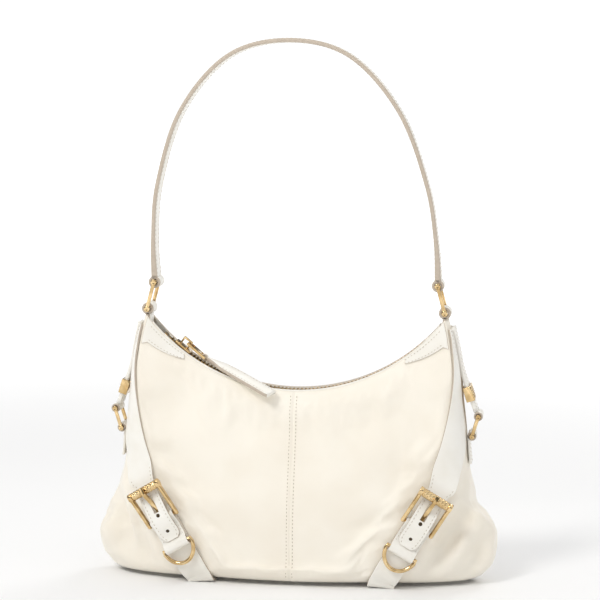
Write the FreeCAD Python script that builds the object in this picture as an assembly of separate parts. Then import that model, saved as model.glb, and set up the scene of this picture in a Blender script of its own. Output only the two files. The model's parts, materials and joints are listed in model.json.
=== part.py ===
"""A small shoulder hobo bag: soft fabric body with a curved zip mouth, leather belts with buckles
down its four edges, and a flat leather handle on two metal links.

Frame: X runs from the left side to the right side, Y from the front to the back, Z up.
The origin is on the floor under the middle of the bag. All sizes are in millimetres.
"""
import FreeCAD
import Part
import math
import os
from FreeCAD import Vector

# ---- body -------------------------------------------------------------------------------------
body_width = 302.0          # across the two lower ears, the widest place
body_depth = 82.0           # front to back, low down in the middle
mouth_span = 223.0          # between the two upper corners
mouth_depth = 19.0          # front edge to back edge of the mouth
corner_height = 195.0       # upper corners above the base
mouth_height = 140.0        # middle of the mouth above the base
base_round = 14.0           # rounding where the walls turn into the base
ear_level = 0.13            # height of the widest place, as a share of the corner height
ear_point = 1.25            # 1 makes the ears elliptical in plan, more makes them pointed

# ---- sheet goods ------------------------------------------------------------------------------
fabric = 1.4                # outer fabric with its backing
lining_cloth = 0.8
lining_gap = 0.25           # between the outer fabric and the lining
base_plate = 3.0
board = 1.6                 # stiffener in the base
board_margin = 16.0         # from the base's edge to the board's edge
trim = 1.8                  # leather facing round the mouth
trim_height = 9.0
trim_gap = 0.2
trim_proud = 1.0            # how far the facing stands above the fabric
leather = 1.8               # belts and straps
thin_leather = 1.5          # folded chapes and loops
stand_off = 0.35            # belts lie this far off the fabric
patch_reach = 26.0          # corner patches, measured along the mouth from the corner

# ---- handle -----------------------------------------------------------------------------------
handle_width = 15.0
handle_thickness = 3.2
handle_end_thickness = 5.0
handle_rise = 201.0         # top of the handle above the links' lower bars
handle_lean = -5.0          # the top of the arch stands this far to the left
link_wire = 3.4
link_pitch = 20.7           # between the axes of a link's two bars
link_inside = 18.0          # clear width inside a link
link_tilt = 15.0            # degrees, each link leans inwards
link_height = 200.0         # lower bars above the base
loop_wall = 2.3
loop_clearance = 0.6
neck_thickness = 3.2
neck_axis_drop = 7.0        # the corner loops rock about an axis this far below the link bars

# ---- zip --------------------------------------------------------------------------------------
zip_drop = 0.5              # zip centre below the edge of the mouth
zip_reach = 45.0            # degrees of arc each side of the middle
tooth_pitch = 3.0
tooth_length = 1.5
tooth_depth = 2.8
tooth_height = 2.4
tooth_gap = 1.2             # between the two rows
tape_thickness = 0.8
tape_inset = 0.3            # tape edge from the facing
slider_rest = 38.0          # degrees left of the middle when the zip is closed
slider_length = 14.0
slider_width = 10.0
slider_plate = 1.1
slider_play = 0.5
bail_length = 8.0
bail_height = 6.0
bail_width = 2.0
pin_radius = 0.8
link_plate = 2.0            # thickness of the metal pull link
pull_link_length = 16.0
pull_link_width = 7.5
pull_link_dip = 2.0         # degrees, the link leans from the bail towards the teeth
pull_tab_length = 62.0
pull_tab_width = 12.0
pull_tab_thickness = 2.6
pull_tab_turn = 19.5        # degrees, the tab points this much to the front of the bag
pull_tab_slope = 22.5       # degrees below the horizontal
pull_tab_roll = 9.0         # degrees, its front edge is the lower one

# ---- belts and buckles ------------------------------------------------------------------------
belt_width = 25.0           # widest place of the belt
tail_width = 16.0           # the part that passes the buckle
buckle_height = 46.0        # pivot bar above the base
buckle_out = 94.0           # pivot bar from the middle of the bag
belt_slope = 58.6           # degrees below the horizontal at the buckle
frame_length = 25.0         # pivot bar to roller
frame_wall = 3.0
frame_bar_height = 5.0
roller_radius = 3.4
pivot_radius = 1.25
pivot_play = 0.35
prong_fit = 0.08            # running fit of the prong's eye on the pivot bar
strap_width = 20.0          # chape and lower strap
chape_length = 22.0         # pivot bar to D-ring bar
prong_width = 2.6
prong_slot = 3.6
d_wire = 3.0
d_depth = 14.0
hole_radius = 1.5
hole_pitch = 14.0

# ---- side straps ------------------------------------------------------------------------------
side_width = 16.0
side_link_wire = 3.0
side_link_pitch = 15.5
side_link_height = 109.0    # lower bar above the base
side_link_tilt = 17.0       # degrees, the upper bar leans outwards
keeper_height = 140.0
keeper_length = 11.0
keeper_wall = 1.3
keeper_play = 0.4

half_span = mouth_span / 2
mouth_sag = corner_height - mouth_height
arc_radius = (half_span ** 2 + mouth_sag ** 2) / (2 * mouth_sag)
arc_height = mouth_height + arc_radius      # the mouth is an arc about this height
base_gap = 0.3                              # between the base and the straps under it
floor_lift = leather + base_gap             # the two lower straps pass under the base


# ---- shape of the bag -------------------------------------------------------------------------
def smooth_curve(points):
    """A function through (place, value) points that turns smoothly at each of them."""
    def slope(i):
        before = points[max(i - 1, 0)]
        after = points[min(i + 1, len(points) - 1)]
        return (after[1] - before[1]) / (after[0] - before[0])

    def value(place):
        place = min(max(place, points[0][0]), points[-1][0])
        i = max(k for k in range(len(points) - 1) if points[k][0] <= place)
        (t0, v0), (t1, v1) = points[i], points[i + 1]
        step = t1 - t0
        s = (place - t0) / step
        return ((2 * s ** 3 - 3 * s ** 2 + 1) * v0 + (s ** 3 - 2 * s ** 2 + s) * slope(i) * step
                + (3 * s ** 2 - 2 * s ** 3) * v1 + (s ** 3 - s ** 2) * slope(i + 1) * step)
    return value


edge_share = smooth_curve([(0.0, 0.52), (0.2, 0.755), (0.4, 0.90), (0.58, 1.0), (0.78, 1.05),
                           (0.92, 1.03), (1.0, 1.0)])
ear_share = smooth_curve([(0.0, 1.15), (ear_level, 1.0), (0.24, 0.78), (0.34, 0.53),
                          (0.45, 0.35), (0.56, 0.235), (0.65, 0.15), (0.75, 0.085),
                          (0.87, 0.05), (1.0, 0.035)])


def edge_x(z):
    """Where the front face ends and the side begins, from the middle of the bag."""
    return half_span * edge_share(z / corner_height)


ear_reach = body_width / 2 - edge_x(ear_level * corner_height)


def round_in(z):
    """How far the walls have turned inwards near the base."""
    if z >= base_round:
        return 0.0
    return base_round - math.sqrt(base_round ** 2 - (base_round - max(z, 0.0)) ** 2)


def side_x(z):
    """The side's outline, from the middle of the bag."""
    return edge_x(z) + ear_reach * ear_share(z / corner_height) - round_in(z)


def mouth_z(x):
    """Height of the mouth's edge."""
    return arc_height - math.sqrt(arc_radius ** 2 - min(abs(x), 0.98 * arc_radius) ** 2)


def face_y(x, z):
    """Half the depth of the bag at a place on its front or back face."""
    across = min(abs(x) / edge_x(z), 1.0)
    full = body_depth / 2 * (1 - 0.13 * across ** 2)
    rise = min(z / mouth_z(x), 1.0)
    fullness = 1 - rise ** (2.5 - 0.9 * across ** 2)
    return mouth_depth / 2 + (full - mouth_depth / 2) * fullness - round_in(z)


def face_point(across, up, inset, low, high=1.0):
    """A point of the front face: across is -1 to 1, up is 0 at the height low and 1 at the mouth."""
    z = low + (corner_height - low) * up
    for _ in range(30):
        z = low + (mouth_z(across * edge_x(z)) - low) * up * high
    x = across * edge_x(z)
    return Vector(x, -(face_y(x, z) - inset), z)


def side_point(around, z, inset):
    """A point of the right side: around is -1 at the front face, 0 in the middle, 1 at the back."""
    angle = math.radians(90 * around)
    edge = edge_x(z)
    reach = max(side_x(z) - edge - inset, 0.2)
    half = face_y(edge, z) - inset
    return Vector(edge + reach * max(math.cos(angle), 0.0) ** ear_point, half * math.sin(angle), z)


def side_normal(around, z):
    """Unit vector out of the right side at a point."""
    step = 0.02
    along = side_point(around + step, z, 0) - side_point(around - step, z, 0)
    up = side_point(around, z + 1, 0) - side_point(around, z - 1, 0)
    return along.cross(up).normalize()


# ---- solids from grids and sections -----------------------------------------------------------
def grid_surface(grid):
    surface = Part.BSplineSurface()
    surface.interpolate(grid)
    return surface


def solid_between(outer, inner):
    """The closed solid between two grids of points with the same layout."""
    first, second = grid_surface(outer), grid_surface(inner)
    faces = [first.toShape(), second.toShape()]
    u0, u1, v0, v1 = first.bounds()
    p0, p1, q0, q1 = second.bounds()
    pairs = [(first.uIso(u0), second.uIso(p0)), (first.uIso(u1), second.uIso(p1)),
             (first.vIso(v0), second.vIso(q0)), (first.vIso(v1), second.vIso(q1))]
    for a, b in pairs:
        faces.append(Part.makeRuledSurface(a.toShape(), b.toShape()))
    return closed_solid(faces)


def closed_solid(faces):
    shell = Part.Compound(faces)
    shell.sewShape(0.01)
    solid = Part.Solid(shell.Shells[0])
    if solid.Volume < 0:
        solid.reverse()
    return solid


def ribbon(stations, thickness, straight=False):
    """A strap through (centre, across, normal, width) stations, with its inner face on the centres."""
    sections = []
    for centre, across, normal, width in stations:
        side = across * (width / 2)
        lift = normal * thickness
        corners = [centre - side, centre + side, centre + side + lift, centre - side + lift]
        sections.append(Part.makePolygon(corners + corners[:1]))
    solid = Part.makeLoft(sections, True, straight)
    if solid.Volume < 0:
        solid.reverse()
    return solid


def box(x0, x1, y0, y1, z0, z1):
    return Part.makeBox(x1 - x0, y1 - y0, z1 - z0, Vector(x0, y0, z0))


def bar(start, end, radius):
    way = end - start
    return Part.makeCylinder(radius, way.Length, start, way)


def round_link(width, pitch, wire, corner):
    """A rectangular wire link in the YZ plane: its lower bar lies along Y through the origin."""
    half = width / 2 + wire / 2
    low, high = 0.0, pitch
    straight = [(Vector(0, -half + corner, low), Vector(0, half - corner, low)),
                (Vector(0, -half + corner, high), Vector(0, half - corner, high)),
                (Vector(0, -half, low + corner), Vector(0, -half, high - corner)),
                (Vector(0, half, low + corner), Vector(0, half, high - corner))]
    link = bar(*straight[0], wire / 2)
    for ends in straight[1:]:
        link = link.fuse(bar(*ends, wire / 2))
    for y, z, turn in ((-half + corner, low + corner, 180), (half - corner, low + corner, 270),
                       (half - corner, high - corner, 0), (-half + corner, high - corner, 90)):
        bend = Part.makeTorus(corner, wire / 2, Vector(0, 0, 0), Vector(1, 0, 0), -180, 180, 90)
        bend.rotate(Vector(0, 0, 0), Vector(1, 0, 0), turn + bend_start(bend))
        bend.translate(Vector(0, y, z))
        link = link.fuse(bend)
    return link.removeSplitter()


def bend_start(bend):
    """Degrees to turn a quarter torus about X so that it fills the +Y +Z corner."""
    centre = bend.CenterOfMass
    return -(math.degrees(math.atan2(centre.z, centre.y)) - 45)


def ring_profile(x, z, outer, inner, width):
    """A leather loop round a bar along Y."""
    start = Vector(x, -width / 2, z)
    return Part.makeCylinder(outer, width, start, Vector(0, 1, 0)).cut(
        Part.makeCylinder(inner, width, start, Vector(0, 1, 0)))


def mirrored(shape, left=False, back=False):
    if left:
        shape = shape.mirror(Vector(0, 0, 0), Vector(1, 0, 0))
    if back:
        shape = shape.mirror(Vector(0, 0, 0), Vector(0, 1, 0))
    return shape


# ---- fabric body ------------------------------------------------------------------------------
rises = [0.0, 0.02, 0.045, 0.08, 0.15, 0.27, 0.4, 0.54, 0.68, 0.8, 0.9, 0.96, 1.0]


def face_panel(inset, depth, low, high=1.0, start=0.0):
    """The right half of the front face, from the middle seam to the side."""
    columns = [start + (0.995 - start) * i / 8 for i in range(9)]
    outer = [[face_point(c, r, inset, low, high) for c in columns] for r in rises]
    inner = [[face_point(c, r, inset + depth, low, high) for c in columns] for r in rises]
    return solid_between(outer, inner)


def side_panel(inset, depth, low, top):
    """The right side, from the front face round to the back face."""
    columns = [i / 8 for i in range(-8, 9)]
    heights = [low + (top - low) * r for r in rises]
    outer = [[side_point(c, z, inset) for c in columns] for z in heights]
    inner = [[side_point(c, z, inset + depth) for c in columns] for z in heights]
    return solid_between(outer, inner)


def base_outline(z, inset):
    """The bag's outline at a height, as one closed wire."""
    steps = [i / 8 for i in range(-8, 9)]
    front = [face_point(s, 0, inset, z) for s in steps]
    right = [side_point(s, z, inset) for s in steps]
    back = [Vector(-p.x, -p.y, p.z) for p in front]
    left = [Vector(-p.x, -p.y, p.z) for p in right]
    edges = []
    for points in (front, right, back, left):
        curve = Part.BSplineCurve()
        curve.interpolate(points)
        edges.append(curve.toShape())
    return Part.Wire(edges)


def plate(z, inset, thickness):
    """A flat plate that fills the bag's outline, standing on the height z."""
    wire = base_outline(base_plate, inset)
    wire.translate(Vector(0, 0, z - base_plate))
    return Part.Face(wire).extrude(Vector(0, 0, thickness))


side_top = corner_height - 5.0
lining_inset = fabric + lining_gap
lining_floor = base_plate + board + 0.4


def make_lining():
    """Lining bag: four walls and a floor, hung just inside the outer fabric."""
    mouth_share = 0.9
    wall = face_panel(lining_inset, lining_cloth, lining_floor + lining_cloth, mouth_share)
    side = side_panel(lining_inset, lining_cloth, lining_floor + lining_cloth, side_top - 10)
    floor = plate(lining_floor, lining_inset + 0.4, lining_cloth)
    walls = [mirrored(wall, left, back) for left in (False, True) for back in (False, True)]
    return Part.Compound(walls + [side, mirrored(side, left=True), floor])


def make_pocket():
    """Flat slip pocket sewn to the back of the lining."""
    inset = lining_inset + lining_cloth + 0.3
    columns = [-0.55 + 1.1 * i / 6 for i in range(7)]
    levels = [0.28 + 0.42 * i / 5 for i in range(6)]
    outer = [[face_point(c, r, inset, lining_floor) for c in columns] for r in levels]
    inner = [[face_point(c, r, inset + lining_cloth, lining_floor) for c in columns] for r in levels]
    return mirrored(solid_between(outer, inner), back=True)


def make_trim():
    """Leather facing inside the front of the mouth; its painted edge stands just above the fabric."""
    reach = 0.955
    columns = [-reach + 2 * reach * i / 16 for i in range(17)]
    grids = []
    for inset in (fabric + trim_gap, fabric + trim_gap + trim):
        rows = []
        for k in range(5):
            row = []
            for c in columns:
                top = face_point(c, 1.0, inset, 0)
                down = trim_height * (1 - k / 4)
                below = Vector(top.x, -(face_y(top.x, top.z - down) - inset), top.z - down)
                row.append(below)
            rows.append(row)
        rows.append([p + Vector(0, 0, trim_proud) for p in rows[-1]])
        grids.append(rows)
    return solid_between(*grids)


# ---- zip --------------------------------------------------------------------------------------
zip_radius = arc_radius + zip_drop
zip_centre = Vector(0, 0, arc_height)
facing_inside = mouth_depth / 2 - fabric - trim_gap - trim
row_outside = tooth_gap / 2 + tooth_depth


def on_arc(shape, degrees):
    """Carries a shape from the middle of the zip along its arc; positive degrees go right."""
    shape = shape.copy()
    shape.rotate(zip_centre, Vector(0, 1, 0), -degrees)
    return shape


def zip_tape():
    """One tape of the zip: a curved strip beside the front row of teeth."""
    inner = facing_inside - tape_inset
    start = -(90 + zip_reach)
    strip = Part.makeCylinder(zip_radius + tape_thickness / 2, inner - row_outside - 0.05,
                              Vector(0, -inner, arc_height), Vector(0, 1, 0), 360)
    hole = Part.makeCylinder(zip_radius - tape_thickness / 2, 2 * inner,
                             Vector(0, -inner, arc_height), Vector(0, 1, 0), 360)
    reach = math.radians(zip_reach)
    far = 2 * zip_radius
    wedge = Part.Face(Part.makePolygon([
        Vector(0, -inner - 1, arc_height),
        Vector(-far * math.sin(reach), -inner - 1, arc_height - far * math.cos(reach)),
        Vector(far * math.sin(reach), -inner - 1, arc_height - far * math.cos(reach)),
        Vector(0, -inner - 1, arc_height)])).extrude(Vector(0, inner + 1, 0))
    return strip.cut(hole).common(wedge)


def tooth(shift):
    top = arc_height - zip_radius
    block = box(-tooth_length / 2, tooth_length / 2, -row_outside, -tooth_gap / 2,
                top - tooth_height / 2, top + tooth_height / 2)
    return on_arc(block, shift)


def teeth_row(offset):
    step = math.degrees(tooth_pitch / zip_radius)
    count = int((2 * zip_reach - 4) / step)
    return Part.Compound([tooth((i - count / 2) * step + offset * step) for i in range(count)])


def zip_stops():
    """Metal stops that end the zip at both sides."""
    top = arc_height - zip_radius
    stop = box(-1.6, 1.6, -row_outside, row_outside, top - 1.0, top + 1.0)
    place = zip_reach - 0.6
    return Part.Compound([on_arc(stop, -place), on_arc(stop, place)])


def make_slider():
    """Zip slider: two plates, side flanges, a bridge between the rows and the bail on top."""
    z = arc_height - zip_radius
    half = tooth_height / 2 + slider_play
    outer = half + slider_plate
    length, width = slider_length / 2, slider_width / 2
    body = box(-length, length, -width, width, z + half, z + outer)
    body = body.fuse(box(-length, length, -width, width, z - outer, z - half))
    flange = row_outside + slider_play
    slot = tape_thickness / 2 + slider_play
    for side in (-1, 1):
        y0, y1 = sorted((side * flange, side * width))
        body = body.fuse(box(-length, length, y0, y1, z + slot, z + half))
        body = body.fuse(box(-length, length, y0, y1, z - half, z - slot))
    body = body.fuse(box(-length + 1, -length + 4, -0.35, 0.35, z - half, z + half))
    bail = box(-bail_length / 2, bail_length / 2, -bail_width / 2, bail_width / 2,
               z + outer, z + outer + bail_height)
    hole = box(-bail_length / 2 + 1.4, bail_length / 2 - 1.4, -bail_width / 2, bail_width / 2,
               z + outer, z + outer + bail_height - 1.4)
    return body.fuse(bail.cut(hole)).removeSplitter()


pin_place = Vector(bail_length / 2 - 1.4 - pin_radius - 0.2, 0,
                   arc_height - zip_radius + tooth_height / 2 + slider_play + slider_plate
                   + bail_height / 2 + 0.3)
dip = math.radians(pull_link_dip)
tab_pin_place = pin_place + Vector(math.cos(dip), 0, -math.sin(dip)) * pull_link_length
eye_radius = 1.0


def make_pull_link():
    """Metal link on the bail: a pin in the bail, two arms, a plate and an eye bar for the tab."""
    half = pull_link_width / 2
    arm = 1.2
    low, high = -link_plate / 2, link_plate / 2
    link = bar(Vector(0, -half, 0), Vector(0, half, 0), pin_radius)
    for side in (-1, 1):
        y0, y1 = sorted((side * (bail_width / 2 + 0.7), side * half))
        link = link.fuse(box(0, 6, y0, y1, low, high))
        y0, y1 = sorted((side * (half - arm), side * half))
        link = link.fuse(box(pull_link_length - 5, pull_link_length + eye_radius, y0, y1, low, high))
    link = link.fuse(box(5, pull_link_length - 4, -half, half, low, high))
    link = link.fuse(bar(Vector(pull_link_length, -half, 0), Vector(pull_link_length, half, 0),
                         eye_radius))
    link = link.removeSplitter()
    link.rotate(Vector(0, 0, 0), Vector(0, 1, 0), pull_link_dip)
    link.translate(pin_place)
    return on_arc(link, -slider_rest)


def make_pull_tab():
    """Stiff leather tab that lies over the front edge of the mouth, with a loop on the eye bar."""
    start = Part.Vertex(tab_pin_place)
    start = on_arc(start, -slider_rest).Point
    slope, turn = math.radians(pull_tab_slope), math.radians(pull_tab_turn)
    neck = pull_link_width - 3.4

    def middle(share):
        run = pull_tab_length * share
        side = pull_tab_length * math.sin(turn) * max(share, 0.0) ** 1.3
        return start + Vector(run * math.cos(slope) * math.cos(turn), -side, -run * math.sin(slope))
    stations = []
    for i in range(9):
        share = 0.03 + 0.97 * i / 8
        way = (middle(share + 0.02) - middle(share - 0.02)).normalize()
        level = Vector(0, 0, 1).cross(way).normalize()
        upward = way.cross(level).normalize()
        roll = math.radians(pull_tab_roll) * min(2 * share, 1.0)
        across = level * math.cos(roll) + upward * math.sin(roll)
        normal = way.cross(across).normalize()
        grow = min(max(share - 0.05, 0.0) / 0.25, 1.0)
        width = neck + (pull_tab_width - neck) * (3 * grow ** 2 - 2 * grow ** 3)
        stations.append((middle(share) - normal * (pull_tab_thickness / 2), across, normal, width))
    tab = ribbon(stations, pull_tab_thickness)
    outer = Part.makeCylinder(2.7, neck, start - Vector(0, neck / 2, 0), Vector(0, 1, 0))
    inner = Part.makeCylinder(eye_radius + 0.3, neck * 2, start - Vector(0, neck, 0), Vector(0, 1, 0))
    return tab.fuse(outer).cut(inner).removeSplitter()


# ---- handle -----------------------------------------------------------------------------------
lower_bar = Vector(half_span, 0, link_height)
upper_bar = lower_bar + Vector(-link_pitch * math.sin(math.radians(link_tilt)), 0,
                               link_pitch * math.cos(math.radians(link_tilt)))
loop_inside = link_wire / 2 + loop_clearance
loop_outside = loop_inside + loop_wall
neck_axis = Vector(0, 0, link_height - neck_axis_drop)


def make_link():
    link = round_link(link_inside, link_pitch, link_wire, 3.0)
    link.rotate(Vector(0, 0, 0), Vector(0, 1, 0), -link_tilt)
    link.translate(lower_bar)
    return link


def make_corner_tab():
    """Leather loop round the link's lower bar, with the neck that rocks between front and back."""
    loop = ring_profile(lower_bar.x, lower_bar.z, loop_outside, loop_inside, handle_width)
    half = handle_width / 2
    left, right = lower_bar.x - neck_thickness / 2, lower_bar.x + neck_thickness / 2
    neck = box(left, right, -half, half, neck_axis.z, link_height - loop_inside)
    foot = Part.makeCylinder(half, neck_thickness, Vector(left, 0, neck_axis.z), Vector(1, 0, 0))
    bore = Part.makeCylinder(loop_inside, handle_width, Vector(lower_bar.x, -half, lower_bar.z),
                             Vector(0, 1, 0))
    return loop.fuse(neck).fuse(foot).cut(bore).removeSplitter()


def handle_points():
    """The handle's centreline from the left link over the arch to the right link."""
    foot = upper_bar.z + loop_outside - 1.0
    rise = link_height + handle_rise - handle_thickness / 2 - foot
    span = upper_bar.x
    shape = [(-1.0, 0.0), (-0.995, 0.17), (-0.945, 0.40), (-0.765, 0.705), (-0.425, 0.935),
             (0.0, 1.0), (0.425, 0.935), (0.765, 0.705), (0.945, 0.40), (0.995, 0.17), (1.0, 0.0)]
    return [Vector(s * span + handle_lean * math.sin(math.pi / 2 * r), 0, foot + r * rise)
            for s, r in shape]


def make_handle():
    """Flat leather handle: one strap on edge, thicker where its ends are folded round the links."""
    line = Part.BSplineCurve()
    line.interpolate(handle_points())
    first, last = line.FirstParameter, line.LastParameter
    total = line.length()
    outer, inner = [], []
    count = 32
    for i in range(count + 1):
        at = line.parameterAtDistance(total * i / count, first) if i else first
        at = last if i == count else at
        here = line.value(at)
        way = line.tangent(at)[0]
        normal = Vector(-way.z, 0, way.x)
        from_end = min(i, count - i) / count * total
        extra = (handle_end_thickness - handle_thickness) * max(0.0, 1 - from_end / 34.0) ** 1.2
        half = (handle_thickness + extra) / 2
        outer.append(here + normal * half)
        inner.append(here - normal * half)
    curves = []
    for points in (outer, inner):
        curve = Part.BSplineCurve()
        curve.interpolate(points)
        curves.append(curve.toShape())
    ends = [Part.makeLine(outer[0], inner[0]), Part.makeLine(outer[-1], inner[-1])]
    face = Part.Face(Part.Wire([curves[0], ends[1], curves[1], ends[0]]))
    strap = face.extrude(Vector(0, handle_width, 0))
    strap.translate(Vector(0, -handle_width / 2, 0))
    for side in (-1, 1):
        x = side * upper_bar.x
        strap = strap.fuse(ring_profile(x, upper_bar.z, loop_outside, loop_inside, handle_width))
        strap = strap.cut(Part.makeCylinder(loop_inside, handle_width,
                                            Vector(x, -handle_width / 2, upper_bar.z),
                                            Vector(0, 1, 0)))
    return strap.removeSplitter()


def make_corner_patch():
    """Leather patch on the front panel in the upper corner, tallest beside the belt."""
    inner_edge = half_span - 2.5
    columns = [i / 6 for i in range(7)]
    rows = [i / 4 for i in range(5)]
    grids = []
    for lift in (0.2, 0.2 + thin_leather):
        grid = []
        for r in rows:
            row = []
            for c in columns:
                x = inner_edge - patch_reach * (1 - c)
                top = mouth_z(x) - 1.0
                z = top - (1 - r) * (4.0 + 15.0 * c)
                row.append(Vector(x, -(face_y(x, z) + lift), z))
            grid.append(row)
        grids.append(grid)
    return solid_between(grids[1], grids[0])


# ---- belts, buckles and D-rings ---------------------------------------------------------------
def around_for_x(x, z):
    """Place round the front half of the right side that lies at a distance from the middle."""
    share = (x - edge_x(z)) / (side_x(z) - edge_x(z))
    return -math.degrees(math.acos(min(max(share, 0.0), 1.0) ** (1 / ear_point))) / 90


pivot_around = around_for_x(buckle_out, buckle_height)
pivot_foot = side_point(pivot_around, buckle_height, 0)
buckle_normal = side_normal(pivot_around, buckle_height)
flat_way = Vector(math.cos(math.radians(belt_slope)), 0, math.sin(math.radians(belt_slope)))
buckle_up = (flat_way - buckle_normal * flat_way.dot(buckle_normal)).normalize()
buckle_across = buckle_normal.cross(buckle_up).normalize()
strap_lift = stand_off + 0.15
base_lift = strap_lift + leather + 0.3
pivot_level = base_lift + thin_leather + pivot_radius + pivot_play
roller_level = pivot_level + 5.4
slot_start, slot_end = 6.0, 19.0
d_level = base_lift + thin_leather + d_wire / 2 + pivot_play
loop_top = pivot_level + pivot_radius + pivot_play + thin_leather


def at_buckle(along, across, out):
    """A point given along the belt, across it and out of the bag, from the pivot's foot."""
    return pivot_foot + buckle_up * along + buckle_across * across + buckle_normal * out


def to_buckle(shape):
    """Carries a shape drawn with X along the belt, Y across it and Z out of the bag."""
    u, v, n, p = buckle_up, buckle_across, buckle_normal, pivot_foot
    turn = FreeCAD.Matrix(u.x, v.x, n.x, p.x, u.y, v.y, n.y, p.y, u.z, v.z, n.z, p.z, 0, 0, 0, 1)
    return shape.transformed(turn)


def tail_level(along):
    """Inner face of the belt's tail: over the pivot loop, under the roller, down on the chape."""
    chape_top = base_lift + 2 * thin_leather
    ease = smooth_curve([(-18.0, chape_top + 0.5), (-12.0, chape_top + 0.7), (-3.5, loop_top + 0.3),
                         (3.5, loop_top + 0.3), (14.0, loop_top - 1.4), (25.0, base_lift + 1.8),
                         (30.0, base_lift), (36.0, stand_off + 0.9)])
    return ease(along)


def width_on_side(z):
    """Width of the belt where it lies on the side, narrow towards the upper corner."""
    share = smooth_curve([(0.45, 0.94), (0.53, 0.90), (0.61, 0.72), (0.69, 0.53), (0.77, 0.42),
                          (0.84, 0.30), (0.95, 0.13)])
    return belt_width * share(z / corner_height)


def belt_row_on_side(z, lift):
    """Five points across the belt at a height, lifted off the side."""
    steps = 120
    arc = [side_point(-1 + i / steps, z, 0) for i in range(steps + 1)]
    runs = [0.0]
    for k in range(steps):
        runs.append(runs[-1] + (arc[k + 1] - arc[k]).Length)
    row = []
    for i in range(5):
        target = 0.6 + width_on_side(z) * i / 4
        k = min(range(steps + 1), key=lambda j: abs(runs[j] - target))
        around = -1 + k / steps
        row.append(side_point(around, z, 0) + side_normal(max(around, -0.98), z) * lift)
    return row


def belt_row_at_buckle(along, width, lift):
    """Five points straight across the belt at a place along the buckle."""
    level = tail_level(along) + lift
    return [at_buckle(along, width * (0.5 - i / 4), level) for i in range(5)]


def make_belt():
    """Belt from the upper corner down the edge of the bag, under the roller to its free tail."""
    grids = []
    for lift in (0.0, leather):
        rows = [belt_row_on_side(corner_height * share, stand_off + 0.25 + lift)
                for share in (0.95, 0.9, 0.84, 0.77, 0.69, 0.61, 0.53, 0.46)]
        for along, width in ((36.0, 21.0), (30.0, 17.0), (25.0, tail_width), (14.0, tail_width),
                             (3.0, tail_width), (-3.0, tail_width), (-10.0, tail_width),
                             (-14.5, 0.9 * tail_width), (-17.0, 0.6 * tail_width)):
            rows.append(belt_row_at_buckle(along, width, lift))
        grids.append(rows)
    belt = solid_between(grids[1], grids[0])
    belt = belt.cut(to_buckle(box(slot_start, slot_end, -prong_slot / 2, prong_slot / 2, -2, 20)))
    hole = Part.makeCylinder(hole_radius, 30, Vector(slot_start - hole_pitch, 0, -2))
    return belt.cut(to_buckle(hole))


def make_chape():
    """Folded leather that holds the pivot bar at its top and the D-ring at its foot."""
    loop_in = pivot_radius + pivot_play
    d_in = d_wire / 2 + pivot_play
    upper = base_lift + thin_leather
    half = strap_width / 2
    sheet = box(-chape_length, 0, -half, half, base_lift, upper)
    sheet = sheet.fuse(box(-chape_length + d_in + 1, -loop_in - 1, -half, half, upper,
                           upper + thin_leather))
    bores = []
    for x, level, inside in ((0, pivot_level, loop_in), (-chape_length, d_level, d_in)):
        start = Vector(x, -half, level)
        sheet = sheet.fuse(Part.makeCylinder(inside + thin_leather, strap_width, start,
                                             Vector(0, 1, 0)))
        bores.append(Part.makeCylinder(inside, strap_width, start, Vector(0, 1, 0)))
    for bore in bores:
        sheet = sheet.cut(bore)
    slot = box(-4.2, 6, -prong_slot / 2, prong_slot / 2, base_lift + 0.5, loop_top + 2)
    return to_buckle(sheet.cut(slot).removeSplitter())


def make_frame():
    """Buckle frame: pivot bar, two side bars that rise to the roller, and the roller."""
    inner = strap_width / 2 + 0.5
    outer = inner + frame_wall
    frame = bar(Vector(0, -outer, pivot_level), Vector(0, outer, pivot_level), pivot_radius)
    for side in (-1, 1):
        y0, y1 = sorted((side * inner, side * outer))
        profile = [Vector(-2.0, y0, pivot_level - 1.6), Vector(-2.0, y0, pivot_level + 1.6),
                   Vector(frame_length, y0, roller_level + frame_bar_height / 2),
                   Vector(frame_length, y0, roller_level - frame_bar_height / 2)]
        cheek = Part.Face(Part.makePolygon(profile + profile[:1])).extrude(Vector(0, y1 - y0, 0))
        frame = frame.fuse(cheek)
    roller = bar(Vector(frame_length, -outer, roller_level), Vector(frame_length, outer, roller_level),
                 roller_radius)
    return to_buckle(frame.fuse(roller).removeSplitter())


def make_prong():
    """Prong: an eye on the pivot bar, a shank under the tail and a tip over the roller."""
    half = prong_width / 2
    over = roller_level + roller_radius + 0.35
    low, high = pivot_level - 1.0, pivot_level + 0.9
    tip = frame_length + 3.0
    profile = [Vector(0, 0, low), Vector(9.5, 0, low), Vector(frame_length - 4, 0, over - 2.2),
               Vector(frame_length - 0.5, 0, over), Vector(tip, 0, over - 0.2),
               Vector(tip, 0, over + 1.1), Vector(frame_length - 2.5, 0, over + 1.9),
               Vector(8.0, 0, high), Vector(0, 0, high)]
    shank = Part.Face(Part.makePolygon(profile + profile[:1])).extrude(Vector(0, prong_width, 0))
    shank.translate(Vector(0, -half, 0))
    start = Vector(0, -half, pivot_level)
    eye = Part.makeCylinder(pivot_radius + 0.9, prong_width, start, Vector(0, 1, 0))
    bore = Part.makeCylinder(pivot_radius + prong_fit, prong_width, start, Vector(0, 1, 0))
    clear = Part.makeCylinder(roller_radius + 0.35, 8, Vector(frame_length, -4, roller_level),
                              Vector(0, 1, 0))
    return to_buckle(shank.fuse(eye).cut(bore).cut(clear).removeSplitter())


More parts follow.
